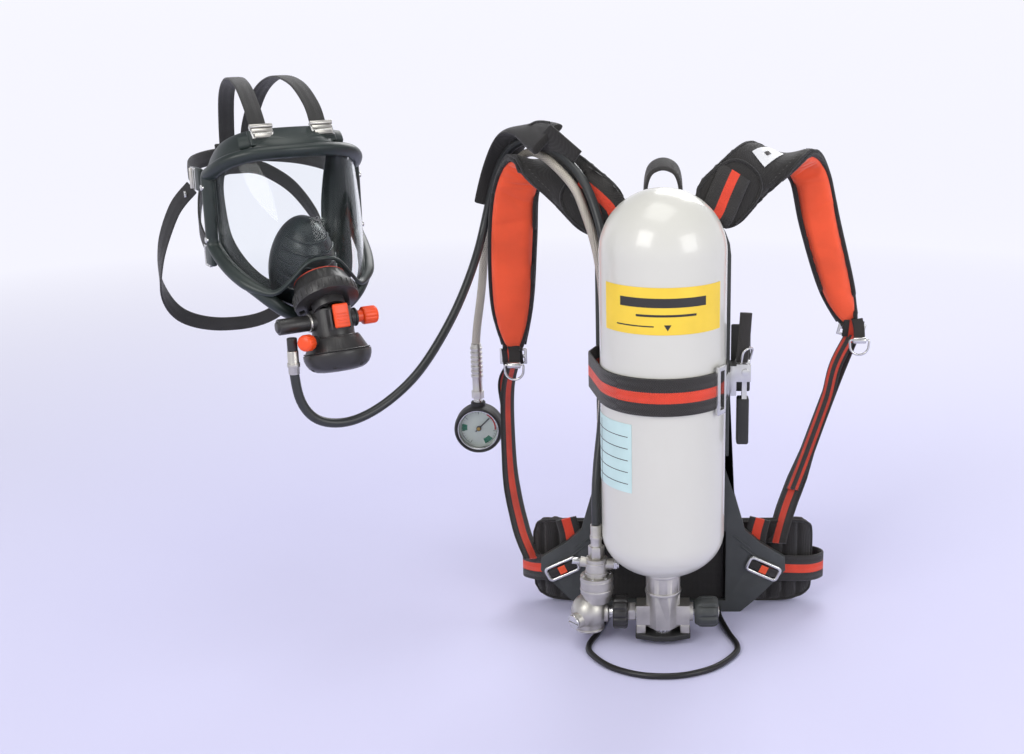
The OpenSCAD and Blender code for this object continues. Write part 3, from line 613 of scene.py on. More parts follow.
def painted(name, colour):
    """Gloss coat over wound fibre: faint helical winding, orange peel and slow mottling."""
    made, tree, shader = new_finish(name, 0.24, Coat_Weight=0.6, Coat_Roughness=0.06)
    split = add(tree, "ShaderNodeSeparateXYZ", {"Vector": add(
        tree, "ShaderNodeMapping", {"Vector": place_of(tree), "Location": (-SHIFT.x, -SHIFT.y, 0)}).outputs["Vector"]})
    angle = calc(tree, "ARCTAN2", split.outputs[1], split.outputs[0])
    helix = calc(tree, "SINE", calc(tree, "ADD", calc(tree, "MULTIPLY", angle, 3), calc(
        tree, "MULTIPLY", split.outputs[2], 2 * math.pi / 0.011)))
    hoops = waves(tree, calc(tree, "ADD", split.outputs[2], calc(tree, "MULTIPLY", noise(tree, 14, 2), 0.006)), 0.0065)
    slow = between(tree, noise(tree, 9, 4), 0.3, 0.7)
    tree.links.new(mixed(tree, slow, shade(colour, 0.975), colour), shader.inputs["Base Color"])
    rough = add(tree, "ShaderNodeMapRange", {"Value": noise(tree, 22, 2), "To Min": 0.29,
                                             "To Max": 0.36}).outputs["Result"]
    tree.links.new(rough, shader.inputs["Roughness"])
    height = calc(tree, "ADD", calc(tree, "MULTIPLY", helix, 0.35), calc(
        tree, "ADD", calc(tree, "MULTIPLY", hoops, 0.35), calc(tree, "MULTIPLY", noise(tree, 110, 2), 0.3)))
    bump(tree, shader, height, 0.00005, 0.25)
    return made


def clear(name, tint, roughness=0.02):
    """Clear polycarbonate with fine wipe marks."""
    made, tree, shader = new_finish(name, roughness, Transmission_Weight=1.0, IOR=1.2)
    tree.links.new(mixed(tree, between(tree, noise(tree, 20, 3), 0.4, 0.8), tint, shade(tint, 0.97)),
                   shader.inputs["Base Color"])
    marks = add(tree, "ShaderNodeMapRange", {"Value": noise(tree, 55, 6), "From Min": 0.45, "From Max": 0.8,
                                             "To Min": roughness, "To Max": roughness + 0.05}).outputs["Result"]
    tree.links.new(marks, shader.inputs["Roughness"])
    return made


def printed(name, colour, fade=0.12, roughness=0.45):
    """Printed film or card with slight fading and scuffs."""
    made, tree, shader = new_finish(name, roughness)
    slow = between(tree, noise(tree, 28, 5), 0.3, 0.75)
    tree.links.new(mixed(tree, slow, colour, shade(colour, 1 - fade)), shader.inputs["Base Color"])
    rough = add(tree, "ShaderNodeMapRange", {"Value": noise(tree, 200, 4), "To Min": roughness - 0.1,
                                             "To Max": roughness + 0.12}).outputs["Result"]
    tree.links.new(rough, shader.inputs["Roughness"])
    bump(tree, shader, noise(tree, 500, 2), 0.00004, 0.4)
    return made


FINISHES = {}


def finish(name):
    """The finish of that name, made once."""
    if name not in FINISHES:
        s = settings()
        black = tuple(s.cloth_colour)
        stripe = tuple(s.stripe_colour)
        half = s.stripe_half_width
        recipes = {
            "slate plastic": lambda: moulded("slate plastic", tuple(s.frame_colour), 0.46, 700, 0.00015),
            "black plastic": lambda: moulded("black plastic", linear(44, 43, 42), 0.34, 1100, 0.00008),
            "orange plastic": lambda: moulded("orange plastic", tuple(s.accent_colour), 0.32, 900, 0.00005, 0.1),
            "soft rubber": lambda: moulded("soft rubber", linear(38, 38, 37), 0.55, 1000, 0.0001, 0.2),
            "mask rubber": lambda: moulded("mask rubber", tuple(s.rubber_colour), 0.34, 900, 0.00002, 0.15),
            "cup rubber": lambda: moulded("cup rubber", linear(36, 42, 44), 0.34, 900, 0.00001, 0.1),
            "silicone": lambda: moulded("silicone", linear(206, 70, 44), 0.45, 900, 0.00005, 0.1),
            "hose rubber": lambda: moulded("hose rubber", linear(44, 46, 46), 0.32, 800, 0.00006, 0.1),
            "coated rod": lambda: moulded("coated rod", linear(24, 23, 22), 0.32, 500, 0.00006, 0.3),
            "winding coat": lambda: painted("winding coat", tuple(s.cylinder_colour)),
            "satin nickel": lambda: plated("satin nickel", tuple(s.nickel_colour), 0.3),
            "cast nickel": lambda: plated("cast nickel", shade(tuple(s.nickel_colour), 0.92), 0.38, 380, 0.00012),
            "bright steel": lambda: plated("bright steel", linear(214, 214, 212), 0.2, 900, 0.00003),
            "brass": lambda: plated("brass", linear(196, 160, 90), 0.3),
            "pad cloth": lambda: cloth("pad cloth", black, s.weave_pitch),
            "pad piping": lambda: cloth("pad piping", shade(black, 0.75), 0.0016, 0.0002, 0.2, 1.2, 0.7, True),
            "lining cloth": lambda: cloth("lining cloth", tuple(s.lining_colour), 0.0015, 0.00012, 0.35, 1.08, 0.7,
                                          True),
            "plain webbing": lambda: woven("plain webbing", black, stripe, []),
            "striped webbing": lambda: woven("striped webbing", black, stripe, [(0.0, half)]),
            "band webbing": lambda: woven("band webbing", black, stripe, [(0.0, half * 1.1)], 0.0026, 0.0004),
            "edge webbing": lambda: woven("edge webbing", black, stripe, [(-0.0062, 0.0024), (0.0062, 0.0024)]),
            "strap rubber": lambda: woven("strap rubber", linear(34, 34, 33), stripe, [], 0.0016, 0.00015),
            "thread": lambda: cloth("thread", linear(62, 60, 57), 0.0008, 0.0001, 0.3, 1.2, 0.8, True),
            "braid": lambda: braided("braid", linear(214, 206, 192)),
            "visor clear": lambda: clear("visor clear", (0.93, 0.96, 0.96, 1)),
            "lens clear": lambda: clear("lens clear", (0.95, 0.98, 0.98, 1), 0.01),
            "label yellow": lambda: printed("label yellow", linear(252, 214, 66)),
            "label teal": lambda: printed("label teal", linear(204, 232, 228)),
            "label white": lambda: printed("label white", linear(236, 237, 238)),
            "label ink": lambda: printed("label ink", linear(46, 44, 42)),
            "dial white": lambda: printed("dial white", linear(228, 233, 222)),
            "dial green": lambda: printed("dial green", linear(38, 128, 92)),
            "dial red": lambda: printed("dial red", linear(206, 48, 40)),
        }
        FINISHES[name] = recipes[name]()
    return FINISHES[name]


# Studio


def build_stage():
    bpy.context.scene.view_settings.view_transform = "Standard"
    bpy.ops.mesh.primitive_plane_add(size=120, location=(0, 0, 0))
    floor = bpy.context.object
    floor.name = "studio_floor"
    made, tree, shader = new_finish("studio floor", 0.95)
    away = add(tree, "ShaderNodeVectorMath", {0: place_of(tree)}, operation="LENGTH").outputs["Value"]
    far = between(tree, away, 0.5, 2.6)
    near = mixed(tree, noise(tree, 0.5, 1), linear(212, 211, 240), linear(217, 216, 243))
    tree.links.new(mixed(tree, far, near, linear(40, 40, 44)), shader.inputs["Base Color"])
    shader.inputs["Emission Color"].default_value = linear(244, 244, 254)
    tree.links.new(calc(tree, "MULTIPLY", far, 0.97), shader.inputs["Emission Strength"])
    floor.data.materials.append(made)

    world = bpy.data.worlds.new("studio")
    bpy.context.scene.world = world
    world.use_nodes = True
    tree = world.node_tree
    way = add(tree, "ShaderNodeSeparateXYZ", {"Vector": add(tree, "ShaderNodeTexCoord").outputs["Generated"]})
    rise = between(tree, way.outputs[2], 0.16, 0.6)
    tree.links.new(mixed(tree, rise, linear(244, 244, 254), linear(150, 150, 160)),
                   tree.nodes["Background"].inputs["Color"])

    centre = at(-60, 60, 320)
    for name, place, size, power, colour in (
            ("key", (-1.3, -2.0, 1.9), 1.3, 29, (1.0, 0.99, 0.96)),
            ("fill", (1.9, -1.5, 1.3), 1.2, 17, (1.0, 1.0, 0.98)),
            ("rim", (0.6, 1.9, 1.8), 1.2, 26, (1.0, 1.0, 1.0)),
            ("top", (0.0, -0.2, 2.6), 1.4, 15, (1.0, 1.0, 0.97))):
        light = bpy.data.lights.new(name, "AREA")
        light.size = size
        light.energy = power
        light.color = colour
        lamp = bpy.data.objects.new(name, light)
        lamp.location = place
        lamp.rotation_euler = (centre - Vector(place)).to_track_quat("-Z", "Y").to_euler()
        bpy.context.scene.collection.objects.link(lamp)

    camera = bpy.data.cameras.new("camera")
    camera.lens = 48.9
    camera.sensor_width = 36
    camera.shift_x = -0.1475
    view = bpy.data.objects.new("camera", camera)
    view.location = Vector((0.171, -1.561, 0.749))
    aim = Vector((0.171, -0.073, 0.322)) - view.location
    view.rotation_euler = aim.to_track_quat("-Z", "Y").to_euler()
    bpy.context.scene.collection.objects.link(view)
    bpy.context.scene.camera = view


# Hoses

AIR_ROUTE = [
    (-77, 0, 146), (-77, 6, 180), (-75, 20, 215), (-70, 36, 260), (-66, 44, 310),
    (-64, 48, 370), (-64, 50, 430), (-70, 62, 480), (-91, 91, 530), (-126, 128, 558),
    (-156, 166, 566), (-184, 190, 552), (-204, 204, 516), (-218, 203, 462), (-226, 186, 428),
    (-236, 158, 396), (-250, 120, 362), (-271, 76, 326), (-292, 40, 302), (-322, 8, 282),
    (-352, -16, 274), (-380, -32, 282), (-395, -39, 306), (-399, -40, 337)]
GAUGE_ROUTE = [
    (-80, 50, 98), (-80, 56, 116), (-80, 60, 150), (-74, 64, 220), (-68, 66, 320),
    (-68, 66, 400), (-76, 68, 460), (-92, 84, 500), (-100, 92, 521), (-134, 123, 550),
    (-160, 178, 552), (-182, 206, 530), (-198, 220, 500), (-216, 226, 468),
    (-223, 225, 430), (-226, 220, 380), (-234, 212, 330), (-236, 210, 306)]


def build_hoses():
    s = settings()
    air_line = eased(smooth([at(*p) for p in AIR_ROUTE], 6), 4)
    hose = tube("air_hose_run", air_line, s.air_hose_width, 20)
    finished(hose, "air_hose_run", "pack", finish("hose rubber"), ["air_hose"], 60)
    tuple(air_line[0])
    line_length(air_line)
    [tuple(p) for p in air_line]
    gauge_line = eased(smooth([at(*p) for p in GAUGE_ROUTE], 6))
    braid = tube("gauge_hose_run", gauge_line, s.gauge_hose_width, 20)
    finished(braid, "gauge_hose_run", "pack", finish("braid"), ["gauge_hose"], 60)
    tuple(gauge_line[0])
    line_length(gauge_line)
    [tuple(p) for p in gauge_line]
    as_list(gauge_pieces())
    refine("hose_fittings", "pack", finish("satin nickel"), 0.0005)


# Gauge


def gauge_pieces():
    stem = refine("gauge_stem", "pack", finish("satin nickel"), 0.0005)
    case = refine("gauge_case", "gauge", finish("bright steel"), 0.0004)
    rim = [(0.0275, -0.014), (0.029, -0.0145), (0.0305, -0.0115), (0.031, -0.008), (0.0304, -0.005),
           (0.031, -0.002), (0.0304, 0.001), (0.031, 0.004), (0.0305, 0.009), (0.0293, 0.0125),
           (0.0275, 0.0132), (0.0262, 0.0122), (0.0255, 0.0098), (0.0252, 0.0076), (0.0271, 0.0074),
           (0.0271, -0.0102)]
    boot = moved(spun("gauge_boot_ring", rim, 96), GAUGE)
    boot_back = drum(0.0285, -0.0142, -0.0104, 72, 0.0015, GAUGE)
    collar = drum(0.0092, 0.029, 0.036, 40, 0.0012, Matrix.Translation(at(-236, 210, 194)), 0.0061)
    boot = joined([boot, boot_back, collar])
    finished(boot, "gauge_boot_ring", "gauge", finish("soft rubber"), ["gauge_boot"], 40)
    dial = drum(0.0248, 0.0, 0.0012, 96, 0.0002, GAUGE)
    finished(dial, "gauge_dial_face", "gauge", finish("dial white"), ["gauge_dial"])
    top = 0.00128

    def ring_part(name, inner, outer, start, end, colour, rise=0.0):
        """A flat arc on the dial; angles in degrees, clockwise from the top."""
        steps = max(2, int(abs(end - start) / 4))
        points, faces = [], []
        for i in range(steps + 1):
            a = math.radians(start + (end - start) * i / steps)
            for r in (inner, outer):
                points.append((r * math.sin(a), r * math.cos(a), top + rise))
        for i in range(steps):
            faces.append((2 * i, 2 * i + 1, 2 * i + 3, 2 * i + 2))
        part = from_rows(name, points, faces)
        thick = part.modifiers.new("Film", "SOLIDIFY")
        thick.thickness = 0.00012
        apply_modifiers(part)
        moved(face_outwards(part), GAUGE)
        return finished(part, name, "gauge", finish(colour), smooth=0)

    ring_part("dial_green_low", 0.0150, 0.0215, -100, -74, "dial green")
    ring_part("dial_green_lower", 0.0150, 0.0215, 128, 160, "dial green")
    ring_part("dial_red_arc", 0.0196, 0.0212, 30, 96, "dial red")
    ring_part("dial_outer_line", 0.0222, 0.0226, -150, 150, "label ink")
    marks = []
    for i in range(31):
        a = -150 + 10 * i
        deep = 0.0036 if i % 5 == 0 else 0.0019
        wide = 0.0005 if i % 5 == 0 else 0.00028
        turn = GAUGE @ Matrix.Rotation(math.radians(-a), 4, "Z")
        marks.append(block((wide, deep, 0.00014), (0, 0.0218 - deep / 2, top + 0.00014), turn, 0))
    finished(joined(marks), "dial_marks", "gauge", finish("label ink"), smooth=0)
    screw = drum(0.0022, 0.0, 0.0016, 24, 0.0003, GAUGE @ Matrix.Translation((0, 0, 0.0040)))
    finished(screw, "needle_boss", "needle", finish("brass"))
    needle = refine("gauge_needle", "needle", finish("black plastic"), 0.0001, 1)
    lens_profile = [(0, 0.0070), (0.0247, 0.0070), (0.0248, 0.0078), (0.0236, 0.0088), (0.018, 0.0091), (0, 0.0093)]
    lens = moved(spun("gauge_lens_dome", lens_profile, 72), GAUGE)
    finished(lens, "gauge_lens_dome", "gauge", finish("lens clear"), ["gauge_lens"], 50)
    bezel = moved(spun("gauge_bezel", [(0.0247, 0.0066), (0.0256, 0.0066), (0.0262, 0.0098), (0.0254, 0.0106),
                                       (0.0247, 0.0098)], 96), GAUGE)
    finished(bezel, "gauge_bezel", "gauge", finish("bright steel"), smooth=30)
    return [stem, case, boot, dial, needle, lens, bezel, screw]


# Carrying frame


def build_carrying_frame():
    refine("backplate", "pack", finish("slate plastic"), 0.0016, 3)
    refine("cylinder_saddle", "pack", finish("soft rubber"), 0.002, 3)
    rod = smooth([at(*p) for p in (
        (-67, 76, 3.5), (-69, 52, 3.5), (-78, 10, 3.5), (-86, -20, 3.5), (-82, -42, 3.5), (-60, -72, 3.5),
        (-30, -90, 3.5), (0, -95, 3.5), (30, -90, 3.5), (60, -72, 3.5), (82, -42, 3.5), (86, -20, 3.5),
        (78, 10, 3.5), (69, 52, 3.5), (67, 76, 3.5))], 8)
    finished(tube("foot_loop", rod, 0.007, 20, start=Z_AXIS), "foot_loop", "pack", finish("coated rod"),
             ["foot_bail"], 60)
    loop = smooth([at(*p) for p in ((-14, 96, 488), (-20, 96, 514), (-15, 96, 538), (0, 96, 546),
                                    (15, 96, 538), (20, 96, 514), (14, 96, 488))], 8)
    grip = webbing("carry_loop_webbing", loop, Vector((0, 0.9, 0.43)), 0.024, 0.0042, 0.0004)
    finished(grip, "carry_loop_webbing", "pack", finish("plain webbing"), ["carry_loop"], 50)
    # ribs moulded on the wings
    ribs = []
    for side in (-1, 1):
        for k in range(3):
            turn = Matrix.Translation(at(side * (96 + 9 * k), PLATE_FRONT * 1000, 92 - 13 * k)) @ \
                Matrix.Rotation(math.radians(-52 * side), 4, "Y")
            ribs.append(block((0.002, 0.0016, 0.026), (0, -0.0004, 0), turn, 0.0006, 2))
    finished(joined(ribs), "wing_ribs", "pack", finish("slate plastic"))
    back_cushions()


def grid_surface(name, columns, rows, place, thickness=0.001, uv_scale=(1, 1)):
    """A patch of columns x rows quads; place(u, v) gives its point for 0..1 each way."""
    points, faces, uvs = [], [], []
    for j in range(rows + 1):
        for i in range(columns + 1):
            points.append(place(i / columns, j / rows))
    for j in range(rows):
        for i in range(columns):
            a = j * (columns + 1) + i
            faces.append((a, a + 1, a + columns + 2, a + columns + 1))
            for di, dj in ((0, 0), (1, 0), (1, 1), (0, 1)):
                uvs.append(((i + di) / columns * uv_scale[0], (j + dj) / rows * uv_scale[1]))
    piece = from_rows(name, points, faces, uvs)
    if thickness:
        thick = piece.modifiers.new("Thickness", "SOLIDIFY")
        thick.thickness = thickness
        thick.offset = 0
        apply_modifiers(piece)
        face_outwards(piece)
    return piece


def plump(piece, voxel, cap, pressure=4.0, levels=1):
    """Swells a padded piece with a short cloth run, and keeps every point within cap of its start."""
    select_only(piece)
    remesh = piece.modifiers.new("Even mesh", "REMESH")
    remesh.mode = "VOXEL"
    remesh.voxel_size = voxel
    remesh.use_smooth_shade = True
    apply_modifiers(piece)
    before = [v.co.copy() for v in piece.data.vertices]
    cloth_run = piece.modifiers.new("Cloth", "CLOTH")
    made = cloth_run.settings
    made.quality = 5
    made.mass = 0.3
    made.tension_stiffness = made.compression_stiffness = 15
    made.shear_stiffness = 8
    made.bending_stiffness = 0.8
    made.use_pressure = True
    made.uniform_pressure_force = pressure
    made.effector_weights.gravity = 0
    cloth_run.collision_settings.use_collision = False
    for step in range(1, 21):
        bpy.context.scene.frame_set(step)
    apply_modifiers(piece)
    bpy.context.scene.frame_set(1)
    for vertex, start in zip(piece.data.vertices, before):
        shift = vertex.co - start
        if shift.length > cap:
            vertex.co = start + shift * (cap / shift.length)
    if levels:
        subdivide(piece, levels)
    return piece


def back_cushions():
    """The two cushions behind the plate, with sewn channels."""
    parts = []
    for low, high, half, deep, channels in ((136, 446, 64, 13, 5), (10, 112, 73, 9, 2)):
        across, up = 40, 60

        def face(front):
            def place(u, v):
                x = half * (2 * u - 1)
                z = low + (high - low) * v
                edge = min(1, (1 - abs(2 * u - 1)) * 7) ** 0.5 * min(1, (1 - abs(2 * v - 1)) * 12) ** 0.5
                channel = 1 - 0.5 * math.exp(-((channels * v + 0.5) % 1 - 0.5) ** 2 / 0.0035)
                spine = 1 - 0.55 * math.exp(-(x / 5) ** 2)
                y = 84.3 if front else 86 + (deep - 2) * edge * channel * spine
                return at(x, y, z)
            return place
        back = grid_surface("cushion", across, up, face(False), 0)
        front = grid_surface("cushion", across, up, face(True), 0)
        both = joined([back, front])
        select_only(both)
        bpy.ops.object.mode_set(mode="EDIT")
        bpy.ops.mesh.select_all(action="DESELECT")
        bpy.ops.mesh.select_mode(type="EDGE")
        bpy.ops.mesh.select_non_manifold()
        bpy.ops.mesh.bridge_edge_loops()
        bpy.ops.object.mode_set(mode="OBJECT")
        parts.append(subdivide(face_outwards(both), 1))
    for number, part in enumerate(parts):
        name = ("back_cushion", "lumbar_cushion")[number]
        finished(part, name, "pack", finish("pad cloth"), ["back_pad"] if number == 0 else [], 60)


# Cylinder


def build_cylinder():
    profile = []
    for i in range(25):
        a = math.radians(-72 + 72 * i / 24)
        profile.append((0.070 * math.cos(a), 0.139 + 0.051 * math.sin(a)))
    for i in range(1, 9):
        profile.append((0.070, 0.139 + 0.325 * i / 9))
    for i in range(33):
        a = math.radians(90 * i / 32)
        profile.append((0.070 * math.cos(a) if i < 32 else 0.0, 0.464 + 0.069 * math.sin(a)))
    shell = spun("cylinder_skin", profile + [], 128)
    moved(shell, Matrix.Translation(SHIFT))
    finished(shell, "cylinder_skin", "pack", finish("winding coat"), ["cylinder_shell"], 60)
    refine("cylinder_liner", "pack", finish("bright steel"), 0)

    def label(name, centre, half_angle, low, high, colour, rise=0.00035, tilt=0.0):
        def place(u, v):
            a = math.radians(centre + half_angle * (2 * u - 1))
            z = low + (high - low) * v + tilt * (2 * u - 1)
            r = CYLINDER_RADIUS * 1000 + rise * 1000
            return at(r * math.sin(a), -r * math.cos(a), z)
        piece = grid_surface(name, max(2, int(half_angle)), max(1, int((high - low) / 8)), place, 0.0002)
        return finished(piece, name, "pack", finish(colour), smooth=60)

    label("yellow_label", 0, 60, 387.5, 438.5, "label yellow")
    # a plain bar, a thin rule and a small pointer in place of lettering
    label("yellow_label_bar", 0, 40, 417, 427, "label ink", 0.0005)
    label("yellow_label_rule", 3, 27, 407, 409.5, "label ink", 0.0005)
    label("yellow_label_small_rule", -26, 18, 396, 397.4, "label ink", 0.0005)
    pointer = grid_surface("label_pointer", 6, 4, lambda u, v: at(
        70.55 * math.sin(math.radians(4 + 3.2 * (2 * u - 1) * v)),
        -70.55 * math.cos(math.radians(4 + 3.2 * (2 * u - 1) * v)), 392 + 6.5 * v), 0.0002)
    finished(pointer, "label_pointer", "pack", finish("label ink"), smooth=60)
    label("teal_label", -61, 32, 207, 286, "label teal")
    for k in range(5):
        z = 203 + 81 * (k + 1) / 6
        label(f"teal_label_line_{k}", -62, 29, z, z + 0.8, "label ink", 0.0005)
    label("teal_label_column", -74, 0.45, 206, 281, "label ink", 0.0005)


# Band and latch


def build_band():
    rings = [(Vector((0, 0)), 0.0714), (Vector((-0.068, 0.044)), 0.0163), (Vector((-0.068, 0.064)), 0.0103)]
    samples = []
    for centre, radius in rings:
        for k in range(72):
            a = 2 * math.pi * k / 72
            samples.append(centre + radius * Vector((math.cos(a), math.sin(a))))
    hull = [samples[i] for i in geometry.convex_hull_2d(samples)]
    count = len(hull)
    total = sum((hull[(i + 1) % count] - hull[i]).length for i in range(count))
    pieces_round = 150
    line, i, gone = [], 0, 0.0
    for k in range(pieces_round):
        want = total * k / pieces_round
        while gone + (hull[(i + 1) % count] - hull[i]).length < want:
            gone += (hull[(i + 1) % count] - hull[i]).length
            i += 1
        a, b = hull[i], hull[(i + 1) % count]
        p = a + (b - a) * ((want - gone) / (b - a).length)
        line.append(Vector((p.x, p.y, BAND_LOW + 0.021)) + SHIFT)
    band = webbing("cylinder_band_webbing", line, Z_AXIS, 0.042, 0.0022, 0.0001, closed=True)
    finished(band, "cylinder_band_webbing", "pack", finish("band webbing"), ["cylinder_band"], 60)
    # second turn of the band from the loop round the front, lying on the first
    turn = []
    for k in range(70):
        a = math.radians(-35 - 98 * k / 69)
        r = 73.1 - 0.5 * (k / 69) ** 8
        turn.append(at(r * math.cos(a), r * math.sin(a), 319))
    outer = webbing("cylinder_band_return", turn, Z_AXIS, 0.041, 0.0013, 0.0001)
    finished(outer, "cylinder_band_return", "pack", finish("band webbing"), smooth=60)
    stitches("band_stitches", [turn[60 + i] + Vector((0, 0, 0.001 * z)) for z in (-14, -5, 5, 14) for i in range(0, 9, 2)],
             lambda p: (p - SHIFT).normalized(), 0.0024)
    refine("band_buckle", "pack", finish("bright steel"), 0.0008)
    refine("latch_lever", "lever", finish("bright steel"), 0.0009)
    grip = block((0.0136, 0.0158, 0.054), at(89, 0, 272), None, 0.0024, 4)
    finished(grip, "latch_grip", "lever", finish("soft rubber"))
    pin_head = drum(0.0042, -0.0012, 0.0012, 28, 0.0005,
                    Matrix.Translation(at(91, -13.6, 331)) @ Matrix.Rotation(math.radians(90), 4, "X"))
    finished(pin_head, "latch_pin_head", "pack", finish("bright steel"))
    wire = smooth([at(*p) for p in ((86, -9, 338), (88, -11, 352), (93, -10, 357), (98, -3, 356), (99, 5, 350),
                                    (97, 9, 340))], 8)
    finished(tube("latch_wire", wire, 0.0028, 12, start=Y_AXIS), "latch_wire", "pack", finish("bright steel"),
             smooth=60)
    tail = smooth([at(*p) for p in ((87, -5, 341), (88, -7, 352), (89.5, -7.2, 372), (91, -6.6, 397))], 8)
    finished(webbing("band_tail_webbing", tail, X_AXIS, 0.0135, 0.004, 0.0002), "band_tail_webbing", "pack",
             finish("plain webbing"), ["band_tail"], 50)
    refine("latch_pad", "pack", finish("soft rubber"), 0.0019, 4)


def stitches(name, places, outwards, length=0.0026, body="pack", along=Z_AXIS):
    """Short threads lying on cloth."""
    made = []
    for place in places:
        out = outwards(place)
        side = square_to(along, out)
        third = out.cross(side)
        turn = Matrix((side, third, out)).transposed().to_4x4()
        turn.translation = place + out * 0.0012
        made.append(block((length, 0.0006, 0.0005), (0, 0, 0), turn, 0.0002, 1))
    return finished(joined(made), name, body, finish("thread"), smooth=30)


# Valve and reducer


def round_x(x, y=0, z=37):
    """Place on the valve's cross axis, with local Z along +X."""
    return Matrix.Translation(at(x, y, z)) @ Matrix.Rotation(math.radians(90), 4, "Y")


def hexagon(across_flats, low, high, matrix):
    radius = across_flats / 2 / math.cos(math.radians(30))
    outline = [(radius * math.cos(math.radians(60 * k)), radius * math.sin(math.radians(60 * k))) for k in range(6)]
    piece = extruded("hexagon", outline, high - low, None, 0.0007)
    moved(piece, Matrix.Translation((0, 0, low)))
    return moved(piece, matrix)


def build_valve():
    refine("valve_body", "pack", finish("cast nickel"), 0.0012, 3)
    refine("valve_guard", "pack", finish("cast nickel"), 0.001, 2)
    refine("guard_foot", "pack", finish("soft rubber"), 0.0014, 3)
    refine("burst_cap", "pack", finish("bright steel"), 0.0004)
    refine("valve_spindle", "handwheel", finish("bright steel"), 0.0003)
    refine("valve_plug", "plug", finish("brass"), 0.0003)
    lobes, steps = 8, 128
    rows = [(0.0, 0.72, 0.0), (0.0008, 0.80, 0.0), (0.003, 0.86, 0.0), (0.006, 0.97, 0.45), (0.009, 1.0, 1.0),
            (0.020, 1.0, 1.0), (0.0235, 0.97, 0.95), (0.026, 0.9, 0.7), (0.0272, 0.78, 0.3), (0.0272, 0.3, 0.0)]
    rings = []
    for height, share, cut in rows:
        ring = []
        for k in range(steps):
            a = 2 * math.pi * k / steps
            dip = max(0.0, math.cos(lobes * a)) ** 3
            r = 0.018 * share * (1 - 0.115 * cut * dip)
            ring.append(Vector((r * math.cos(a), r * math.sin(a), height)))
        rings.append(ring)
    wheel = sweep("handwheel_grip", rings, [k / steps for k in range(steps + 1)])
    moved(wheel, round_x(37))
    finished(wheel, "handwheel_grip", "handwheel", finish("slate plastic"),
             ["valve_handwheel"], 50)
    cap = drum(0.0062, 0.0266, 0.0284, 40, 0.0006, round_x(37))
    finished(cap, "handwheel_cap", "handwheel", finish("satin nickel"))
    neck = [drum(0.0212, 0.0625, 0.0665, 96, 0.0008, Matrix.Translation(SHIFT)),
            drum(0.0206, 0.0845, 0.0885, 96, 0.0008, Matrix.Translation(SHIFT))]
    finished(joined(neck), "valve_neck_rings", "pack", finish("satin nickel"))
    knurls = []
    for k in range(36):
        turn = Matrix.Translation(at(0, -4, 0)) @ Matrix.Rotation(math.radians(10 * k), 4, "Z")
        knurls.append(block((0.0009, 0.0009, 0.006), (0.0098, 0, 0.018), turn, 0.0003, 1))
    finished(joined(knurls), "burst_cap_knurl", "pack", finish("bright steel"))


def build_reducer():
    refine("reducer_body", "pack", finish("cast nickel"), 0.0012, 3)
    refine("reducer_piston", "piston", finish("bright steel"), 0.0004)
    refine("reducer_spring", "pack", finish("bright steel"), 0)
    refine("reducer_plugs", "pack", finish("bright steel"), 0.0005)
    refine("coupling_spigot", "pack", finish("bright steel"), 0.0005)
    refine("coupling_nut", "coupling", finish("satin nickel"), 0.0006)
    base = Matrix.Translation(at(-77, 0, 0))
    parts = [drum(0.0196, 0.0655, 0.0685, 80, 0.0008, base), drum(0.0194, 0.0772, 0.080, 80, 0.0008, base),
             drum(0.0138, 0.0862, 0.0888, 64, 0.0006, base), drum(0.0134, 0.0985, 0.1008, 64, 0.0006, base),
             drum(0.0178, 0.0165, 0.0195, 72, 0.0009, Matrix.Translation(at(-86, 0, 0))),
             drum(0.0122, 0.0, 0.0022, 48, 0.0006, round_x(-66.5))]
    finished(joined(parts), "reducer_rims", "pack", finish("satin nickel"))
    screws = []
    for k in range(6):
        a = math.radians(60 * k + 15)
        screws.append(drum(0.0019, 0.0826, 0.0842, 20, 0.0004,
                           Matrix.Translation(at(-77 + 15.6 * math.cos(a), 15.6 * math.sin(a), 0))))
    finished(joined(screws), "reducer_screws", "pack", finish("bright steel"))
    lobes, steps = 12, 144
    rows = [(-0.0585, 0.80, 0.0), (-0.0583, 0.90, 0.4), (-0.0572, 0.97, 0.9), (-0.056, 1.0, 1.0), (-0.0445, 1.0, 1.0),
            (-0.043, 0.97, 0.9), (-0.0414, 0.9, 0.4), (-0.0411, 0.78, 0.0)]
    rings = []
    for x, share, cut in rows:
        ring = []
        for k in range(steps):
            a = 2 * math.pi * k / steps
            dip = max(0.0, math.cos(lobes * a)) ** 2
            r = 0.020 * share * (1 - 0.085 * cut * dip)
            ring.append(Vector((r * math.cos(a), r * math.sin(a), x)))
        rings.append(ring)
    inner = [[Vector((0.0077 * math.cos(2 * math.pi * k / steps), 0.0077 * math.sin(2 * math.pi * k / steps), x))
              for k in range(steps)] for x in (-0.0411, -0.0585)]
    wheel = sweep("coupling_grip", rings + inner, [k / steps for k in range(steps + 1)], True)
    moved(wheel, Matrix.Translation(at(0, 0, 37)) @ Matrix.Rotation(math.radians(90), 4, "Y"))
    finished(wheel, "coupling_grip", "coupling", finish("black plastic"), ["coupling_wheel"], 50)


# Shoulder pads

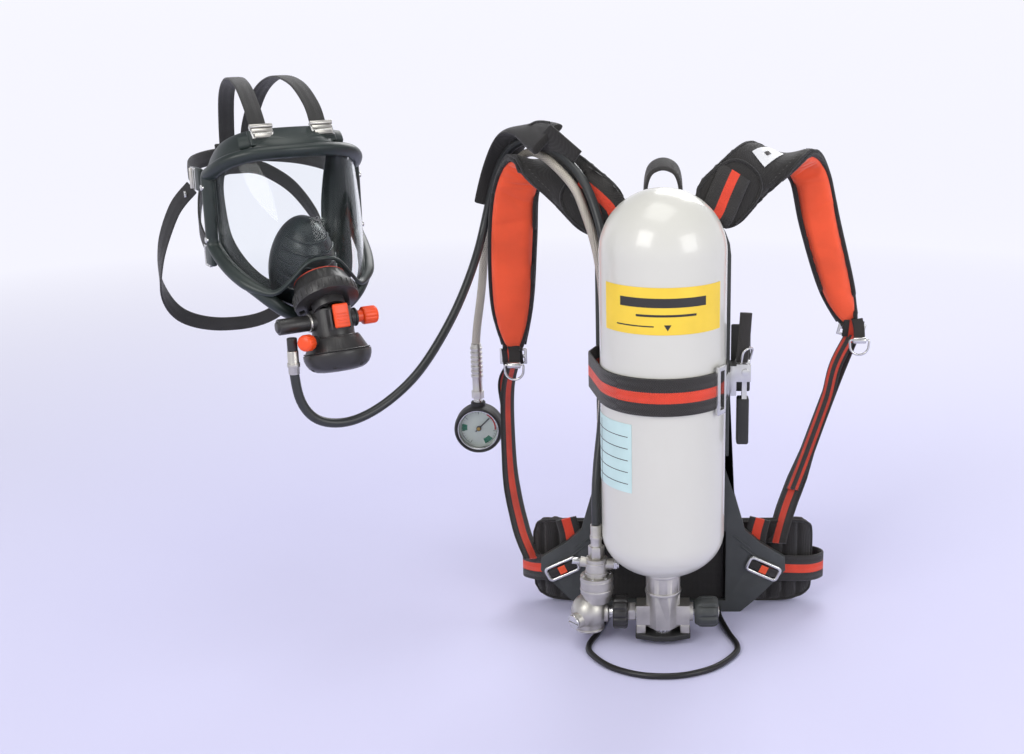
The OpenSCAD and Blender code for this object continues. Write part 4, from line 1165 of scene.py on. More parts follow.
PAD_STEPS = 8
PADS = {
    "left": {
        "route": [(-57, 92, 481), (-87, 104, 507), (-122, 134, 531), (-157, 172, 537),
                  (-178, 196, 503), (-185, 202, 440), (-188, 202, 360), (-188, 201, 300)],
        "across": [(0.55, 0, 0.83), (0.70, -0.1, 0.70), (0.92, -0.3, 0.3), (0.99, -0.1, 0),
                   (1, 0, 0), (1, 0, 0.02), (1, 0, 0.03), (1, 0, 0.03)],
        "half": [39, 37, 34, 31, 31, 33, 29, 15]},
    "right": {
        "route": [(52, 92, 487), (78, 104, 515), (113, 130, 541), (152, 168, 546),
                  (176, 195, 522), (192, 202, 460), (214, 202, 384), (232, 201, 336)],
        "across": [(0.55, 0, -0.83), (0.70, 0.1, -0.70), (0.92, 0.3, -0.3), (0.99, 0.1, 0),
                   (1, 0, 0.08), (0.98, 0, 0.22), (0.97, 0, 0.24), (0.97, 0, 0.25)],
        "half": [39, 37, 35, 30, 27, 27, 24, 14]},
}


def pad_frames(shape):
    """Centre, across, out (towards the lining) and half width at each step of a pad."""
    line = smooth([at(*p) for p in shape["route"]], PAD_STEPS)
    wants = smooth(shape["across"], PAD_STEPS)
    halves = smooth([(h, 0, 0) for h in shape["half"]], PAD_STEPS)
    frames, gone = [], 0.0
    for i, (point, way, want, half) in enumerate(zip(line, directions(line), wants, halves)):
        gone += (point - line[i - 1]).length if i else 0.0
        side = square_to(want, way)
        # the end by the plate is rounded
        rounded = 0.45 + 0.55 * math.sqrt(1 - (1 - min(1.0, gone / 0.032)) ** 2)
        frames.append((point, side, way.cross(side), half.x * 0.001 * rounded))
    return frames


def pad_place(frames, s):
    """The pad's frame at s, counted in route points."""
    f = min(max(s * PAD_STEPS, 0), len(frames) - 1.001)
    i, t = int(f), f - int(f)
    a, b = frames[i], frames[i + 1]
    return [a[k] * (1 - t) + b[k] * t for k in range(4)]


def on_pad(tree, frames, s, x, side, lift):
    """Point on the finished pad: s along, x across from -1 to 1, side +1 for the lining."""
    centre, across, out, half = pad_place(frames, s)
    start = centre + across * x * half + out * side * 0.04
    hit = tree.ray_cast(start, -out * side, 0.08)[0]
    if hit is None:
        hit = centre + across * x * half + out * side * 0.006
    return hit + out * side * lift


def surface_tree(piece):
    return BVHTree.FromObject(piece, bpy.context.evaluated_depsgraph_get())


def pad_form(name, frames):
    total = line_length([f[0] for f in frames])
    rings, gone = [], 0.0
    for i, (point, side, out, half) in enumerate(frames):
        if i:
            gone += (point - frames[i - 1][0]).length
        end = min(1.0, (total - gone) / 0.022 + 0.12)
        taper = math.sqrt(max(0.0, 1 - (1 - end) ** 2))
        ring = []
        for k in range(28):
            a = 2 * math.pi * k / 28
            c, d = math.cos(a), math.sin(a)
            x = (half - 0.0015) * math.copysign(abs(c) ** 0.5, c) * (0.45 + 0.55 * taper)
            y = 0.0066 * math.copysign(abs(d) ** 0.75, d) * (0.3 + 0.7 * taper)
            ring.append(point + side * x + out * y)
        rings.append(ring)
    return sweep(name, rings, [k / 28 for k in range(29)])


def build_shoulder_pads():
    s = settings()
    for number, (hand, shape) in enumerate(PADS.items()):
        frames = pad_frames(shape)
        form = plump(pad_form(hand + "_pad", frames), 0.005, s.pad_swell)
        finished(form, hand + "_shoulder_pad", "pack", finish("pad cloth"),
                 ["shoulder_pads"] if number == 0 else [], 60)
        tree = surface_tree(form)
        top = 2.75
        creases = [(0.035, 0.012, 0.0016, 0.009), (0.075, -0.015, 0.0018, 0.010), (0.12, 0.02, 0.0016, 0.011),
                   (0.17, -0.01, 0.0012, 0.012), (0.23, 0.03, 0.0013, 0.013), (0.33, -0.03, 0.0009, 0.016),
                   (0.46, 0.02, 0.0010, 0.014), (0.63, -0.04, 0.0007, 0.02)]

        def lining(u, v, top=top, frames=frames, tree=tree, creases=creases):
            x = 2 * u - 1
            along = top + (6.93 - top) * v
            narrow = 0.74 * (1 - 0.28 * max(0.0, 1 - v / 0.16) ** 2) * (1 - 0.5 * max(0.0, (v - 0.86) / 0.14) ** 2)
            edge = min(1.0, min(1 - abs(x), 4 * v, 4 * (1 - v)) * 5)
            folds = 0.0005 * math.sin(9 * v + 2.3 * x + 1) * (1 - x * x)
            for where, lean, deep, wide in creases:
                folds -= deep * math.exp(-((v + lean * x - where) / wide) ** 2) * (1 - x ** 4)
            return on_pad(tree, frames, along, x * narrow, 1, 0.0004 + 0.0022 * edge ** 0.6 + folds)
        panel = grid_surface(hand + "_pad_lining", 26, 150, lining, 0.0012, (0.06, 0.3))
        finished(panel, hand + "_pad_lining", "pack", finish("lining cloth"), smooth=60)
        cords = []
        for x in (-0.82, 0.82):
            line = [on_pad(tree, frames, 2.2 + (6.9 - 2.2) * k / 60,
                           x * (1 - 0.25 * max(0.0, (k - 50) / 10) ** 2), 1, 0.0002) for k in range(61)]
            cords.append(tube("piping", line, 0.0058, 10))
        rim = [on_pad(tree, frames, 6.95, -0.78 + 1.56 * k / 10, 1, 0.0) for k in range(11)]
        cords.append(tube("piping", rim, 0.0044, 10))
        for x in (-0.86, 0.86):
            line = [on_pad(tree, frames, 0.05 + 6.8 * k / 90, x, -1, 0.0) for k in range(91)]
            cords.append(tube("piping", line, 0.0036, 10))
        finished(joined(cords), hand + "_pad_piping", "pack", finish("pad piping"), smooth=60)
        # webbing that runs up from the plate under the pad's cover, with its sewn window
        flip_x = 1 if hand == "right" else -1
        run = [(0.0, 0.28), (0.35, 0.1), (0.7, -0.06), (1.05, -0.24), (1.3, -0.36)] if hand == "right" else \
            [(0.0, 0.34), (0.35, 0.33), (0.7, 0.32), (1.05, 0.30), (1.3, 0.28)]
        centre = smooth([on_pad(tree, frames, a, b, -1, 0.0016) for a, b in run], 5)
        ways = directions(centre)
        out = -pad_place(frames, 0.6)[2]
        rings = []
        section = strip_section(0.040, 0.0022)
        for point, way in zip(centre, ways):
            side = out.cross(way).normalized()
            ring = []
            for x, y in section:
                probe = point + side * x + out * 0.04
                hit = tree.ray_cast(probe, -out, 0.09)[0]
                base = hit if hit is not None and abs((hit - point).dot(out)) < 0.007 else point + side * x - out * 0.001
                ring.append(base + out * (0.0014 + y))
            rings.append(ring)
        patch = sweep("webbing", rings, [x for x, _ in section] + [section[0][0]])
        finished(patch, hand + "_pad_webbing", "pack", finish("striped webbing"), smooth=60)
        seam = [(0.02, -0.86), (0.5, -0.84), (1.1, -0.82), (1.45, -0.68), (1.62, -0.3), (1.66, 0.2), (1.5, 0.62),
                (1.1, 0.78), (0.4, 0.82)] if hand == "right" else \
            [(0.02, 0.86), (0.6, 0.84), (1.15, 0.78), (1.42, 0.5), (1.5, 0.0), (1.44, -0.5), (1.1, -0.78), (0.4, -0.82)]
        line = smooth([on_pad(tree, frames, a, b, -1, 0.0008) for a, b in seam], 6)
        finished(tube("window_seam", line, 0.0034, 10), hand + "_pad_window_seam", "pack", finish("pad piping"),
                 smooth=60)
        if hand == "right":
            def badge(u, v, frames=frames, tree=tree):
                return on_pad(tree, frames, 1.92 + 0.66 * v, -0.50 + 0.66 * u, -1, 0.0012)
            finished(grid_surface("right_pad_badge", 10, 10, badge, 0.0006), "right_pad_badge", "pack",
                     finish("label white"), smooth=60)

            def bar(u, v, frames=frames, tree=tree):
                return on_pad(tree, frames, 2.19 + 0.14 * v, -0.26 + 0.16 * u, -1, 0.0020)
            finished(grid_surface("right_pad_badge_bar", 4, 8, bar, 0.0004), "right_pad_badge_bar", "pack",
                     finish("label ink"), smooth=60)
        threads = []
        for x in (-0.66, 0.66):
            for k in range(46):
                threads.append((1.8 + 5.0 * k / 46, x))
        made = []
        for a, b in threads:
            centre, across, out, half = pad_place(frames, a)
            place = on_pad(tree, frames, a, b, -1, 0.0003)
            way = (pad_place(frames, a + 0.05)[0] - centre).normalized()
            turn = Matrix((way, (-out).cross(way), -out)).transposed().to_4x4()
            turn.translation = place
            made.append(block((0.0032, 0.0007, 0.0006), (0, 0, 0), turn, 0.0002, 1))
        finished(joined(made), hand + "_pad_stitches", "pack", finish("thread"), smooth=30)
    build_sleeve()


def build_sleeve():
    """Cloth sleeve that wraps the two hoses to the left pad, with its flap and badge."""
    route = [at(*p) for p in ((-130, 122, 569), (-156, 162, 575), (-180, 190, 562), (-202, 208, 522), (-214, 210, 480))]
    across = [(0.6, 0.4, 0.7), (0.75, 0.45, 0.2), (0.85, 0.45, -0.2), (0.9, 0.4, -0.2), (0.9, 0.4, -0.1)]
    line = smooth(route, 8)
    wants = smooth(across, 8)
    rings = []
    count = len(line)
    for i, (point, way, want) in enumerate(zip(line, directions(line), wants)):
        side = square_to(want, way)
        out = way.cross(side)
        t = i / (count - 1)
        half = 0.0225 * (1.05 - 0.25 * t) * (1 + 0.03 * math.sin(14 * t))
        ring = []
        for k in range(32):
            a = 2 * math.pi * k / 32
            c, d = math.cos(a), math.sin(a)
            x = half * math.copysign(abs(c) ** 0.7, c)
            y = (0.0085 if d < 0 else 0.003) * d * (1 - 0.3 * t) - 0.001
            y += 0.0007 * math.sin(3 * a + 9 * t)
            ring.append(point + side * x + out * y)
        rings.append(ring)
    sleeve = sweep("hose_sleeve_cloth", rings, [k / 32 * 0.09 for k in range(33)])
    subdivide(sleeve, 1)
    finished(sleeve, "hose_sleeve_cloth", "pack", finish("pad cloth"), ["hose_sleeve"], 60)
    flap_corners = [at(-128, 118, 588), at(-92, 98, 560), at(-106, 112, 536), at(-150, 150, 556)]

    def flap(u, v):
        a = flap_corners[0].lerp(flap_corners[1], u)
        b = flap_corners[3].lerp(flap_corners[2], u)
        p = a.lerp(b, v)
        return p + Vector((0, -0.006, 0.004)) * math.sin(math.pi * v) * (1 - 0.4 * u)
    piece = grid_surface("sleeve_flap", 16, 16, flap, 0.003, (0.04, 0.04))
    soften(piece, 0.0009, 2, 40)
    finished(piece, "sleeve_flap", "pack", finish("pad cloth"), smooth=60)
    edge = [at(-130, 122, 590), at(-148, 146, 588), at(-170, 176, 574)]
    finished(tube("sleeve_seam", smooth(edge, 8), 0.003, 10), "sleeve_seam", "pack", finish("pad piping"),
             smooth=60)


# Straps

PULL_LEFT = [(-188, 198, 284), (-196, 196, 250), (-196, 182, 196), (-190, 152, 140), (-176, 122, 92),
             (-160, 106, 62)]
PULL_RIGHT = [(236, 196, 320), (216, 190, 268), (192, 166, 212), (168, 134, 160), (148, 106, 118),
              (138, 98, 86)]


def build_straps():
    for hand, route, across, spread in (("left", PULL_LEFT, Vector((0.55, 0.8, 0)), -1),
                                        ("right", PULL_RIGHT, Vector((0.55, -0.8, 0)), 1)):
        line = smooth([at(*p) for p in route], 10)
        # wider over the doubled lower half, which lies in front of the waist pad
        last = len(line) - 1
        wide = [0.025 + (0.008 if spread > 0 else 0.003) * min(1, max(0, (i / last - 0.5) / 0.12))
                for i in range(last + 1)]
        line = [p - Y_AXIS * 0.010 * min(1, max(0, (i / last - 0.75) / 0.25)) for i, p in enumerate(line)]
        strap = webbing(hand + "_strap", line, across, wide, 0.0024, 0.0)
        finished(strap, hand + "_pull_strap", "pack", finish("striped webbing"),
                 ["pull_straps"] if hand == "left" else [], 50)
        ways = directions(line)
        second = []
        for i, (point, way) in enumerate(zip(line, ways)):
            t = i / (len(line) - 1)
            side = square_to(across, way)
            out = way.cross(side)
            gap = 0.0028 + 0.006 * math.sin(math.pi * min(1, t * 3.2)) ** 2
            second.append(point + out * gap * spread + side * 0.004 * math.sin(math.pi * t))
        other = webbing(hand + "_strand", second[:-16], across, 0.023, 0.0022, 0.0)
        finished(other, hand + "_pull_strap_return", "pack", finish("edge webbing"), smooth=50)
        top = line[0]
        tab = smooth([top + mm(0, 0, -2), top + mm(1 * spread, -1, 9), top + mm(2 * spread, 0, 19)], 6)
        finished(webbing(hand + "_tab", tab, X_AXIS, 0.026, 0.003, 0.0), hand + "_strap_tab", "pack",
                 finish("striped webbing"), smooth=50)
    refine("strap_slides", "pack", finish("bright steel"), 0.0007)
    for hand, place in (("left", (-186, 185, 284)), ("right", (243, 178, 318))):
        points = [(-11.5, 0, 0), (-11.5, 0, -7)]
        points += [(11.5 * math.cos(math.radians(180 + 15 * k)), 0, -7 + 11.5 * math.sin(math.radians(180 + 15 * k)))
                   for k in range(1, 12)]
        points += [(11.5, 0, -7), (11.5, 0, 0), (6, 0, 0), (0, 0, 0), (-6, 0, 0)]
        line = smooth_loop([at(p[0] + place[0], p[1] + place[1], p[2] + place[2]) for p in points], 3)
        ring = tube("ring", line, 0.003, 12, True, Y_AXIS)
        finished(ring, hand + "_d_ring_wire", "ring_" + hand, finish("bright steel"),
                 ["d_ring_" + hand], 60)
        hanger = smooth([at(place[0], place[1] + 2, place[2] + 2), at(place[0], place[1] + 8, place[2] + 12),
                         at(place[0] - 2, place[1] + 14, place[2] + 24)], 6)
        finished(webbing("hanger", hanger, X_AXIS, 0.014, 0.0024, 0.0), hand + "_ring_hanger", "pack",
                 finish("plain webbing"), smooth=50)


# Waist belt

WAIST_ROUTE = [(-161, 122, 57), (-130, 111, 57), (-80, 106, 57), (0, 106, 57), (90, 106, 57), (150, 111, 57),
               (186, 122, 57)]
BELT_RIGHT = [(126, 90, 55), (150, 95, 50), (182, 104, 46), (199, 120, 45), (186, 136, 45), (150, 124, 47),
              (96, 119, 50), (20, 119, 52)]
BELT_LEFT = [(-126, 90, 55), (-140, 93, 52), (-160, 104, 48), (-174, 120, 46), (-162, 136, 46), (-130, 124, 48),
             (-96, 119, 50), (-20, 119, 52)]


def build_waist():
    s = settings()
    line = smooth([at(*p) for p in WAIST_ROUTE], 10)
    total = line_length(line)
    ways = directions(line)
    rings, gone = [], 0.0
    for i, (point, way) in enumerate(zip(line, ways)):
        if i:
            gone += (point - line[i - 1]).length
        near = min(gone, total - gone)
        round_end = math.sqrt(max(0.0, 1 - (1 - min(1, near / 0.03 + 0.02)) ** 2))
        high = 0.0585 * (0.62 + 0.38 * round_end)
        deep = 0.0078 * (0.35 + 0.65 * round_end)
        side = square_to(Z_AXIS, way)
        out = way.cross(side)
        ring = []
        for k in range(36):
            a = 2 * math.pi * k / 36
            c, d = math.cos(a), math.sin(a)
            ring.append(point + side * high * math.copysign(abs(c) ** 0.4, c)
                        + out * deep * math.copysign(abs(d) ** 0.8, d))
        rings.append(ring)
    form = plump(sweep("waist", rings, [k / 36 for k in range(37)]), 0.005, s.pad_swell)
    # sewn channels, pressed in after the swelling
    channels = [-0.148, -0.129, -0.110, -0.091, 0.110, 0.129, 0.148, 0.167]
    for vertex in form.data.vertices:
        x = vertex.co.x - SHIFT.x
        near = min(abs(x - c) for c in channels)
        up = abs(vertex.co.z - 0.057)
        if near < 0.008 and up < 0.05:
            depth = 0.0032 * math.exp(-(near / 0.0026) ** 2) * min(1, (0.052 - up) / 0.008)
            i = min(range(0, len(line), 2), key=lambda n: abs(line[n].x - vertex.co.x))
            out = ways[i].cross(square_to(Z_AXIS, ways[i]))
            vertex.co -= out * depth * math.copysign(1, (vertex.co - line[i]).dot(out))
    finished(form, "waist_cushion", "pack", finish("pad cloth"), ["waist_pads"], 60)
    skin = surface_tree(form)
    edging = []
    for offset in (-0.009, 0.009):
        loop = []
        for k in range(96):
            a = 2 * math.pi * k / 96
            c, d = math.cos(a), math.sin(a)
            f = (0.5 + 0.492 * math.copysign(abs(c) ** 0.34, c)) * (len(line) - 1)
            i = min(int(f), len(line) - 2)
            p = line[i].lerp(line[i + 1], f - i)
            out = ways[i].cross(square_to(Z_AXIS, ways[i]))
            rim = p + Z_AXIS * 0.0525 * math.copysign(abs(d) ** 0.34, d) + out * offset * 0.75
            loop.append(skin.find_nearest(rim)[0])
        edging.append(tube("edging", loop, 0.0038, 10, True))
    finished(joined(edging), "waist_piping", "pack", finish("pad piping"), smooth=60)
    belts = []
    for route in (BELT_RIGHT, BELT_LEFT):
        belts.append(webbing("belt", smooth([at(*p) for p in route], 10), Z_AXIS, 0.034, 0.0026, 0.0))
    finished(joined(belts), "waist_belt_webbing", "pack", finish("striped webbing"),
             ["waist_belt"], 50)
    loops = []
    for hand in (-1, 1):
        corners = []
        for k, (x, z) in enumerate(((15.5, 4.2), (-15.5, 4.2), (-15.5, -4.2), (15.5, -4.2))):
            for step in range(5):
                a = math.radians(90 * k + 22.5 * step)
                corners.append(mm(x + 4.2 * math.cos(a), 0, z + 4.2 * math.sin(a)))
        loop = tube("slide", corners, 0.0046, 12, True, Y_AXIS)
        turn = Matrix.Translation(at(122 * hand, 74, 58)) @ Matrix.Rotation(math.radians(25 * hand), 4, "Y")
        loops.append(moved(loop, turn))
    finished(joined(loops), "belt_slide_loops", "pack", finish("bright steel"), ["belt_slides"], 60)
    for hand in (-1, 1):
        bar = smooth([Vector((-0.017, 0, 0)), Vector((-0.009, -0.0018, 0)), Vector((0, -0.0024, 0)),
                      Vector((0.009, -0.0018, 0)), Vector((0.017, 0, 0))], 6)
        turn = Matrix.Translation(at(122 * hand, 75, 58)) @ Matrix.Rotation(math.radians(25 * hand), 4, "Y")
        strip = webbing("slide_belt", bar, Z_AXIS, 0.0105, 0.003, 0.0)
        moved(strip, turn)
        finished(strip, ("left" if hand < 0 else "right") + "_slide_belt", "pack", finish("plain webbing"),
                 smooth=50)
        mark = webbing("slide_mark", [Vector((-0.0045, -0.0040, 0)), Vector((0, -0.0042, 0)),
                                      Vector((0.0045, -0.0040, 0))], Z_AXIS, 0.0100, 0.0012, 0.0)
        moved(mark, turn)
        finished(mark, ("left" if hand < 0 else "right") + "_slide_belt_stripe", "pack", finish("lining cloth"),
                 smooth=50)
        strap = smooth([at(hand * p[0], p[1], p[2]) for p in ((118, 88, 118), (113, 88, 96), (112, 88, 70))], 6)
        finished(webbing("wing_strap", strap, X_AXIS, 0.026, 0.0026, 0.0),
                 ("left" if hand < 0 else "right") + "_wing_strap", "pack", finish("striped webbing"),
                 smooth=50)


# Demand valve


def lobed(name, radius, rows, lobes, cut, matrix, steps=96):
    """A knob turned about Z from (height, share, groove) rows."""
    rings = []
    for height, share, groove in rows:
        ring = []
        for k in range(steps):
            a = 2 * math.pi * k / steps
            dip = max(0.0, math.cos(lobes * a)) ** 2
            r = radius * share * (1 - cut * groove * dip)
            ring.append(Vector((r * math.cos(a), r * math.sin(a), height)))
        rings.append(ring)
    return moved(sweep(name, rings, [k / steps for k in range(steps + 1)]), matrix)


def build_demand_valve():
    refine("demand_body", "pack", finish("black plastic"), 0.0011, 3)
    cover = spun("demand_cover_shell", [(0.0, -0.0182), (0.010, -0.0181), (0.018, -0.0176), (0.0245, -0.0164),
                                        (0.029, -0.0143), (0.0326, -0.0112), (0.0352, -0.0068), (0.0366, -0.0024),
                                        (0.037, 0.0004), (0.037, 0.0030), (0.0366, 0.0038), (0.0300, 0.0038),
                                        (0.0284, -0.0020), (0.0276, -0.0100), (0.0, -0.0106)], 96)
    finished(moved(cover, DEMAND), "demand_cover_shell", "pack", finish("black plastic"),
             ["demand_cover"])
    vents = []
    for k in range(6):
        turn = DEMAND @ Matrix.Rotation(math.radians(60 * k), 4, "Z") @ Matrix.Translation((0.0308, 0, -0.0126)) @ \
            Matrix.Rotation(math.radians(132), 4, "Y")
        vents.append(drum(0.0024, -0.0010, 0.0006, 24, 0.0004, turn, 0.0013))
    finished(joined(vents), "cover_vents", "pack", finish("soft rubber"))
    refine("demand_diaphragm", "diaphragm", finish("mask rubber"), 0)
    refine("inlet_barrel", "pack", finish("black plastic"), 0.0009, 3)
    rings = [drum(0.0362, 0.0042, 0.0058, 80, 0.0006, DEMAND, 0.029), drum(0.0262, 0.0196, 0.0215, 72, 0.0007, DEMAND, 0.022)]
    finished(joined(rings), "housing_rims", "pack", finish("black plastic"))
    cross = DEMAND @ Matrix.Translation((0, 0, 0.039))
    for side in (-1, 1):
        collar = drum(0.0104, 0.0, 0.0026, 56, 0.0007,
                      cross @ Matrix.Translation((side * 0.0262 - 0.0013, 0, 0)) @ Matrix.Rotation(math.radians(90), 4, "Y"))
        finished(collar, ("left" if side < 0 else "right") + "_cross_collar", "pack", finish("satin nickel" if side < 0 else
                                                                                     "black plastic"))
    refine("release_latch", "release", finish("orange plastic"), 0.0018, 4)
    ridges = [block((0.0125, 0.0012, 0.0014), (0, -0.0322, 0.034 + 0.0034 * k), DEMAND, 0.0004, 2) for k in range(4)]
    finished(joined(ridges), "release_ridges", "release", finish("orange plastic"))
    knob = lobed("bypass", 0.0101, [(0, 0.66, 0), (0.0068, 0.66, 0), (0.0072, 0.86, 0), (0.0082, 0.97, 0.3),
                                    (0.0095, 1, 1), (0.0205, 1, 1), (0.0225, 0.97, 0.7), (0.0238, 0.88, 0.2),
                                    (0.024, 0.55, 0), (0.0236, 0.5, 0), (0.0234, 0.1, 0)], 10, 0.085,
                 DEMAND @ Matrix.Translation((0.0275, 0, 0.039)) @ Matrix.Rotation(math.radians(90), 4, "Y"))
    finished(knob, "bypass_grip", "bypass", finish("orange plastic"), ["bypass_knob"], 45)
    press = DEMAND @ Matrix.Translation((-0.026, -0.010, 0.018)) @ Matrix.Rotation(math.radians(-50), 4, "Z") @ \
        Matrix.Rotation(math.radians(90), 4, "X") @ Matrix.Translation((0, 0, 0.0124))
    stem = drum(0.0038, -0.0052, 0.0004, 32, 0.0004, press)
    finished(stem, "reset_stem", "reset", finish("orange plastic"))
    button = lobed("reset", 0.0091, [(0, 0.8, 0), (0.0003, 0.94, 0.4), (0.0012, 1, 1), (0.0088, 1, 1), (0.0102, 0.97, 0.6),
                                     (0.0122, 0.84, 0), (0.013, 0.72, 0), (0.0131, 0.1, 0)], 12, 0.06, press)
    finished(button, "reset_grip", "reset", finish("orange plastic"), ["reset_button"], 45)


# Mask


def on_visor(angle, height, out=0.0):
    """Point on the visor's outside: angle across in degrees, height and out in millimetres."""
    a = math.radians(angle)
    rise = 60 + 46 * math.sin(math.radians(90 * min(1, max(0, (566 - height) / 104))))
    return mm((81 + out) * math.sin(a), -52 - (rise + out) * math.cos(a), height)


def visor_low(angle):
    table = ((0, 457), (14, 453), (24, 436), (36, 421), (52, 426), (74, 446), (90, 464))
    a = abs(angle)
    for (a0, z0), (a1, z1) in zip(table, table[1:]):
        if a <= a1:
            return z0 + (z1 - z0) * (a - a0) / (a1 - a0)
    return table[-1][1]


def visor_high(angle):
    return 566 - 28 * (1 - math.cos(math.radians(angle))) ** 1.5


def mirrored(points):
    return [(-x, y, z) for x, y, z in reversed(points)]


def build_mask():
    def glass(u, v):
        a = 87 * (2 * u - 1)
        low, high = visor_low(a), visor_high(a)
        return MASK @ on_visor(a, low + (high - low) * v, -1.2)
    visor = grid_surface("visor_panel", 64, 24, glass, 0.0022)
    finished(visor, "visor_panel", "mask", finish("visor clear"), ["visor"], 60)

    edge = [on_visor(a, visor_high(a)) for a in range(-84, 85, 14)]
    edge += [on_visor(90, z) for z in range(538, 465, -18)]
    edge += [on_visor(a, visor_low(a)) for a in range(84, -85, -12)]
    edge += [on_visor(-90, z) for z in range(466, 539, 18)]
    edge = smooth_loop(edge, 3)
    centre = mm(0, -60, 500)
    ways = directions(edge, True)
    sections = (("visor_frame_moulding", 3.4, 7.6, 6.2, "mask rubber", ["visor_frame"]),
                ("visor_frame_lip", -2.2, 3.0, 4.4, "mask rubber", []))
    for name, shift, wide, deep, colour, nodes in sections:
        rings = []
        for point, way in zip(edge, ways):
            away = square_to(point - centre, way)
            turn = abs(math.degrees(math.atan2(point.x, -point.y - 0.052)))
            low = point.z < 0.480
            slim = 1 - 0.66 * (1 - min(1, max(0, (turn - 26) / 22))) if low else 1
            third = way.cross(away)
            ring = []
            for k in range(20):
                a = 2 * math.pi * k / 20
                c, d = math.cos(a), math.sin(a)
                ring.append(MASK @ (point + away * 0.001 * (shift * slim + wide * slim * math.copysign(abs(c) ** 0.8, c))
                                    + third * 0.001 * deep * slim * math.copysign(abs(d) ** 0.8, d)))
            rings.append(ring)
        moulding = sweep(name, rings, [k / 20 for k in range(21)], True)
        subdivide(moulding, 1)
        finished(moulding, name, "mask", finish(colour), nodes, 60)
    # clamp screws at both sides of the frame
    heads = []
    for side in (-1, 1):
        for height in (528, 470):
            place = MASK @ on_visor(90 * side, height, 11)
            turn = Matrix.Translation(place) @ MASK.to_3x3().to_4x4() @ Matrix.Rotation(math.radians(90 * side), 4, "Y")
            heads.append(drum(0.0032, -0.002, 0.0012, 28, 0.0005, turn))
    finished(joined(heads), "visor_frame_screws", "mask", finish("bright steel"))

    front = [(24, -112, 576), (52, -94, 571), (74, -66, 556), (84, -46, 526), (84, -44, 494), (80, -52, 458),
             (68, -80, 434), (52, -108, 418), (34, -124, 404), (12, -128, 396)]
    back = [(22, -84, 592), (48, -70, 588), (68, -44, 572), (76, -20, 540), (77, -12, 500), (73, -16, 460),
            (62, -34, 430), (46, -54, 408), (28, -66, 396), (10, -70, 391)]
    front_line = smooth_loop([mm(*p) for p in front + mirrored(front)], 4)
    back_line = smooth_loop([mm(*p) for p in back + mirrored(back)], 4)

    def inwards(p, by):
        return p - by * 0.001 * Vector((p.x, 0.35 * (p.y + 0.060), p.z - 0.490)).normalized()
    rings = []
    for f, b in zip(front_line, back_line):
        lip = inwards(b, 20)
        middle = inwards(f.lerp(b, 0.5), -2.2)
        ring = [inwards(f, 3.2), inwards(f.lerp(b, 0.5), 1.2), inwards(b, 5) - mm(0, 3, 0), lip - mm(0, 4, 0),
                inwards(lip, 1.6) - mm(0, 1.6, 0), lip + mm(0, 0.6, 0), inwards(b, 8) + mm(0, 1.4, 0),
                inwards(b, 1.2) + mm(0, 0.8, 0), b, middle, f]
        rings.append([MASK @ p for p in ring])
    seal = sweep("face_seal_moulding", rings, [k / 11 for k in range(12)], True)
    subdivide(seal, 1)
    finished(seal, "face_seal_moulding", "mask", finish("mask rubber"), ["face_seal"], 60)
    # brow band with raised lugs for the crown buckles
    brow = [MASK @ p for p in smooth([mm(-58, -86, 577), mm(-40, -94, 580), mm(-20, -104, 578), mm(0, -108, 575),
                                      mm(20, -104, 578), mm(40, -94, 580), mm(58, -86, 577)], 8)]
    band = webbing("brow", brow, MASK.to_3x3() @ Vector((0, 0.55, 0.83)), 0.015, 0.0046, 0.0006)
    lugs = [block((0.030, 0.0055, 0.020), (0, 0.0045, -0.0045), MASK @ Matrix.Translation(mm(34 * side, -92, 588))
                  @ Matrix.Rotation(math.radians(-40), 4, "X"), 0.0024, 3) for side in (-1, 1)]
    temples = [block((0.0065, 0.024, 0.026), (0.0825 * side, -0.012, 0.532), MASK, 0.0026, 3) for side in (-1, 1)]
    cheeks = [block((0.0065, 0.022, 0.022), (0.0735 * side, -0.004, 0.4425), MASK, 0.0026, 3) for side in (-1, 1)]
    finished(joined([band] + lugs + temples + cheeks), "seal_lugs", "mask", finish("mask rubber"),
             smooth=50)
    refine("nose_cup", "mask", finish("cup rubber"), 0.0009, 3)
    refine("port_ring", "mask", finish("black plastic"), 0.0009, 2)
    refine("exhale_valve", "exhale", finish("silicone"), 0.0003)
    grips = []
    for k in range(30):
        turn = PORT @ Matrix.Rotation(math.radians(12 * k), 4, "Z")
        grips.append(block((0.0018, 0.0030, 0.0095), (0.0349, 0, -0.0005), turn, 0.0008, 2))
    finished(joined(grips), "port_grips", "mask", finish("black plastic"), smooth=35)
    spokes = []
    for k in range(12):
        turn = PORT @ Matrix.Rotation(math.radians(30 * k), 4, "Z")
        spokes.append(block((0.0085, 0.0016, 0.002), (0.0235, 0, 0.0222), turn, 0.0005, 2))
    spokes.append(drum(0.0282, 0.0212, 0.0228, 72, 0.0006, PORT, 0.0262))
    finished(joined(spokes), "port_grille", "mask", finish("silicone"), smooth=35)
    chin = [MASK @ p for p in smooth([mm(*p) for p in (
        (-79, -84, 441), (-70, -105, 430), (-60, -120, 419), (-48, -128, 407), (-34, -130, 396), (-18, -127, 389),
        (0, -125, 386), (18, -127, 389), (34, -130, 396), (48, -128, 407), (60, -120, 419), (70, -105, 430),
        (79, -84, 441))], 5)]
    finished(tube("chin", chin, 0.0148, 18, start=Z_AXIS), "chin_moulding", "mask", finish("mask rubber"),
             smooth=60)
    seam = [p + (MASK.to_3x3() @ Vector((0, -0.3, -0.95))) * 0.0066 for p in chin]
    finished(tube("chin_seam", seam, 0.0026, 10, start=Z_AXIS), "chin_seam", "mask", finish("mask rubber"),
             smooth=60)
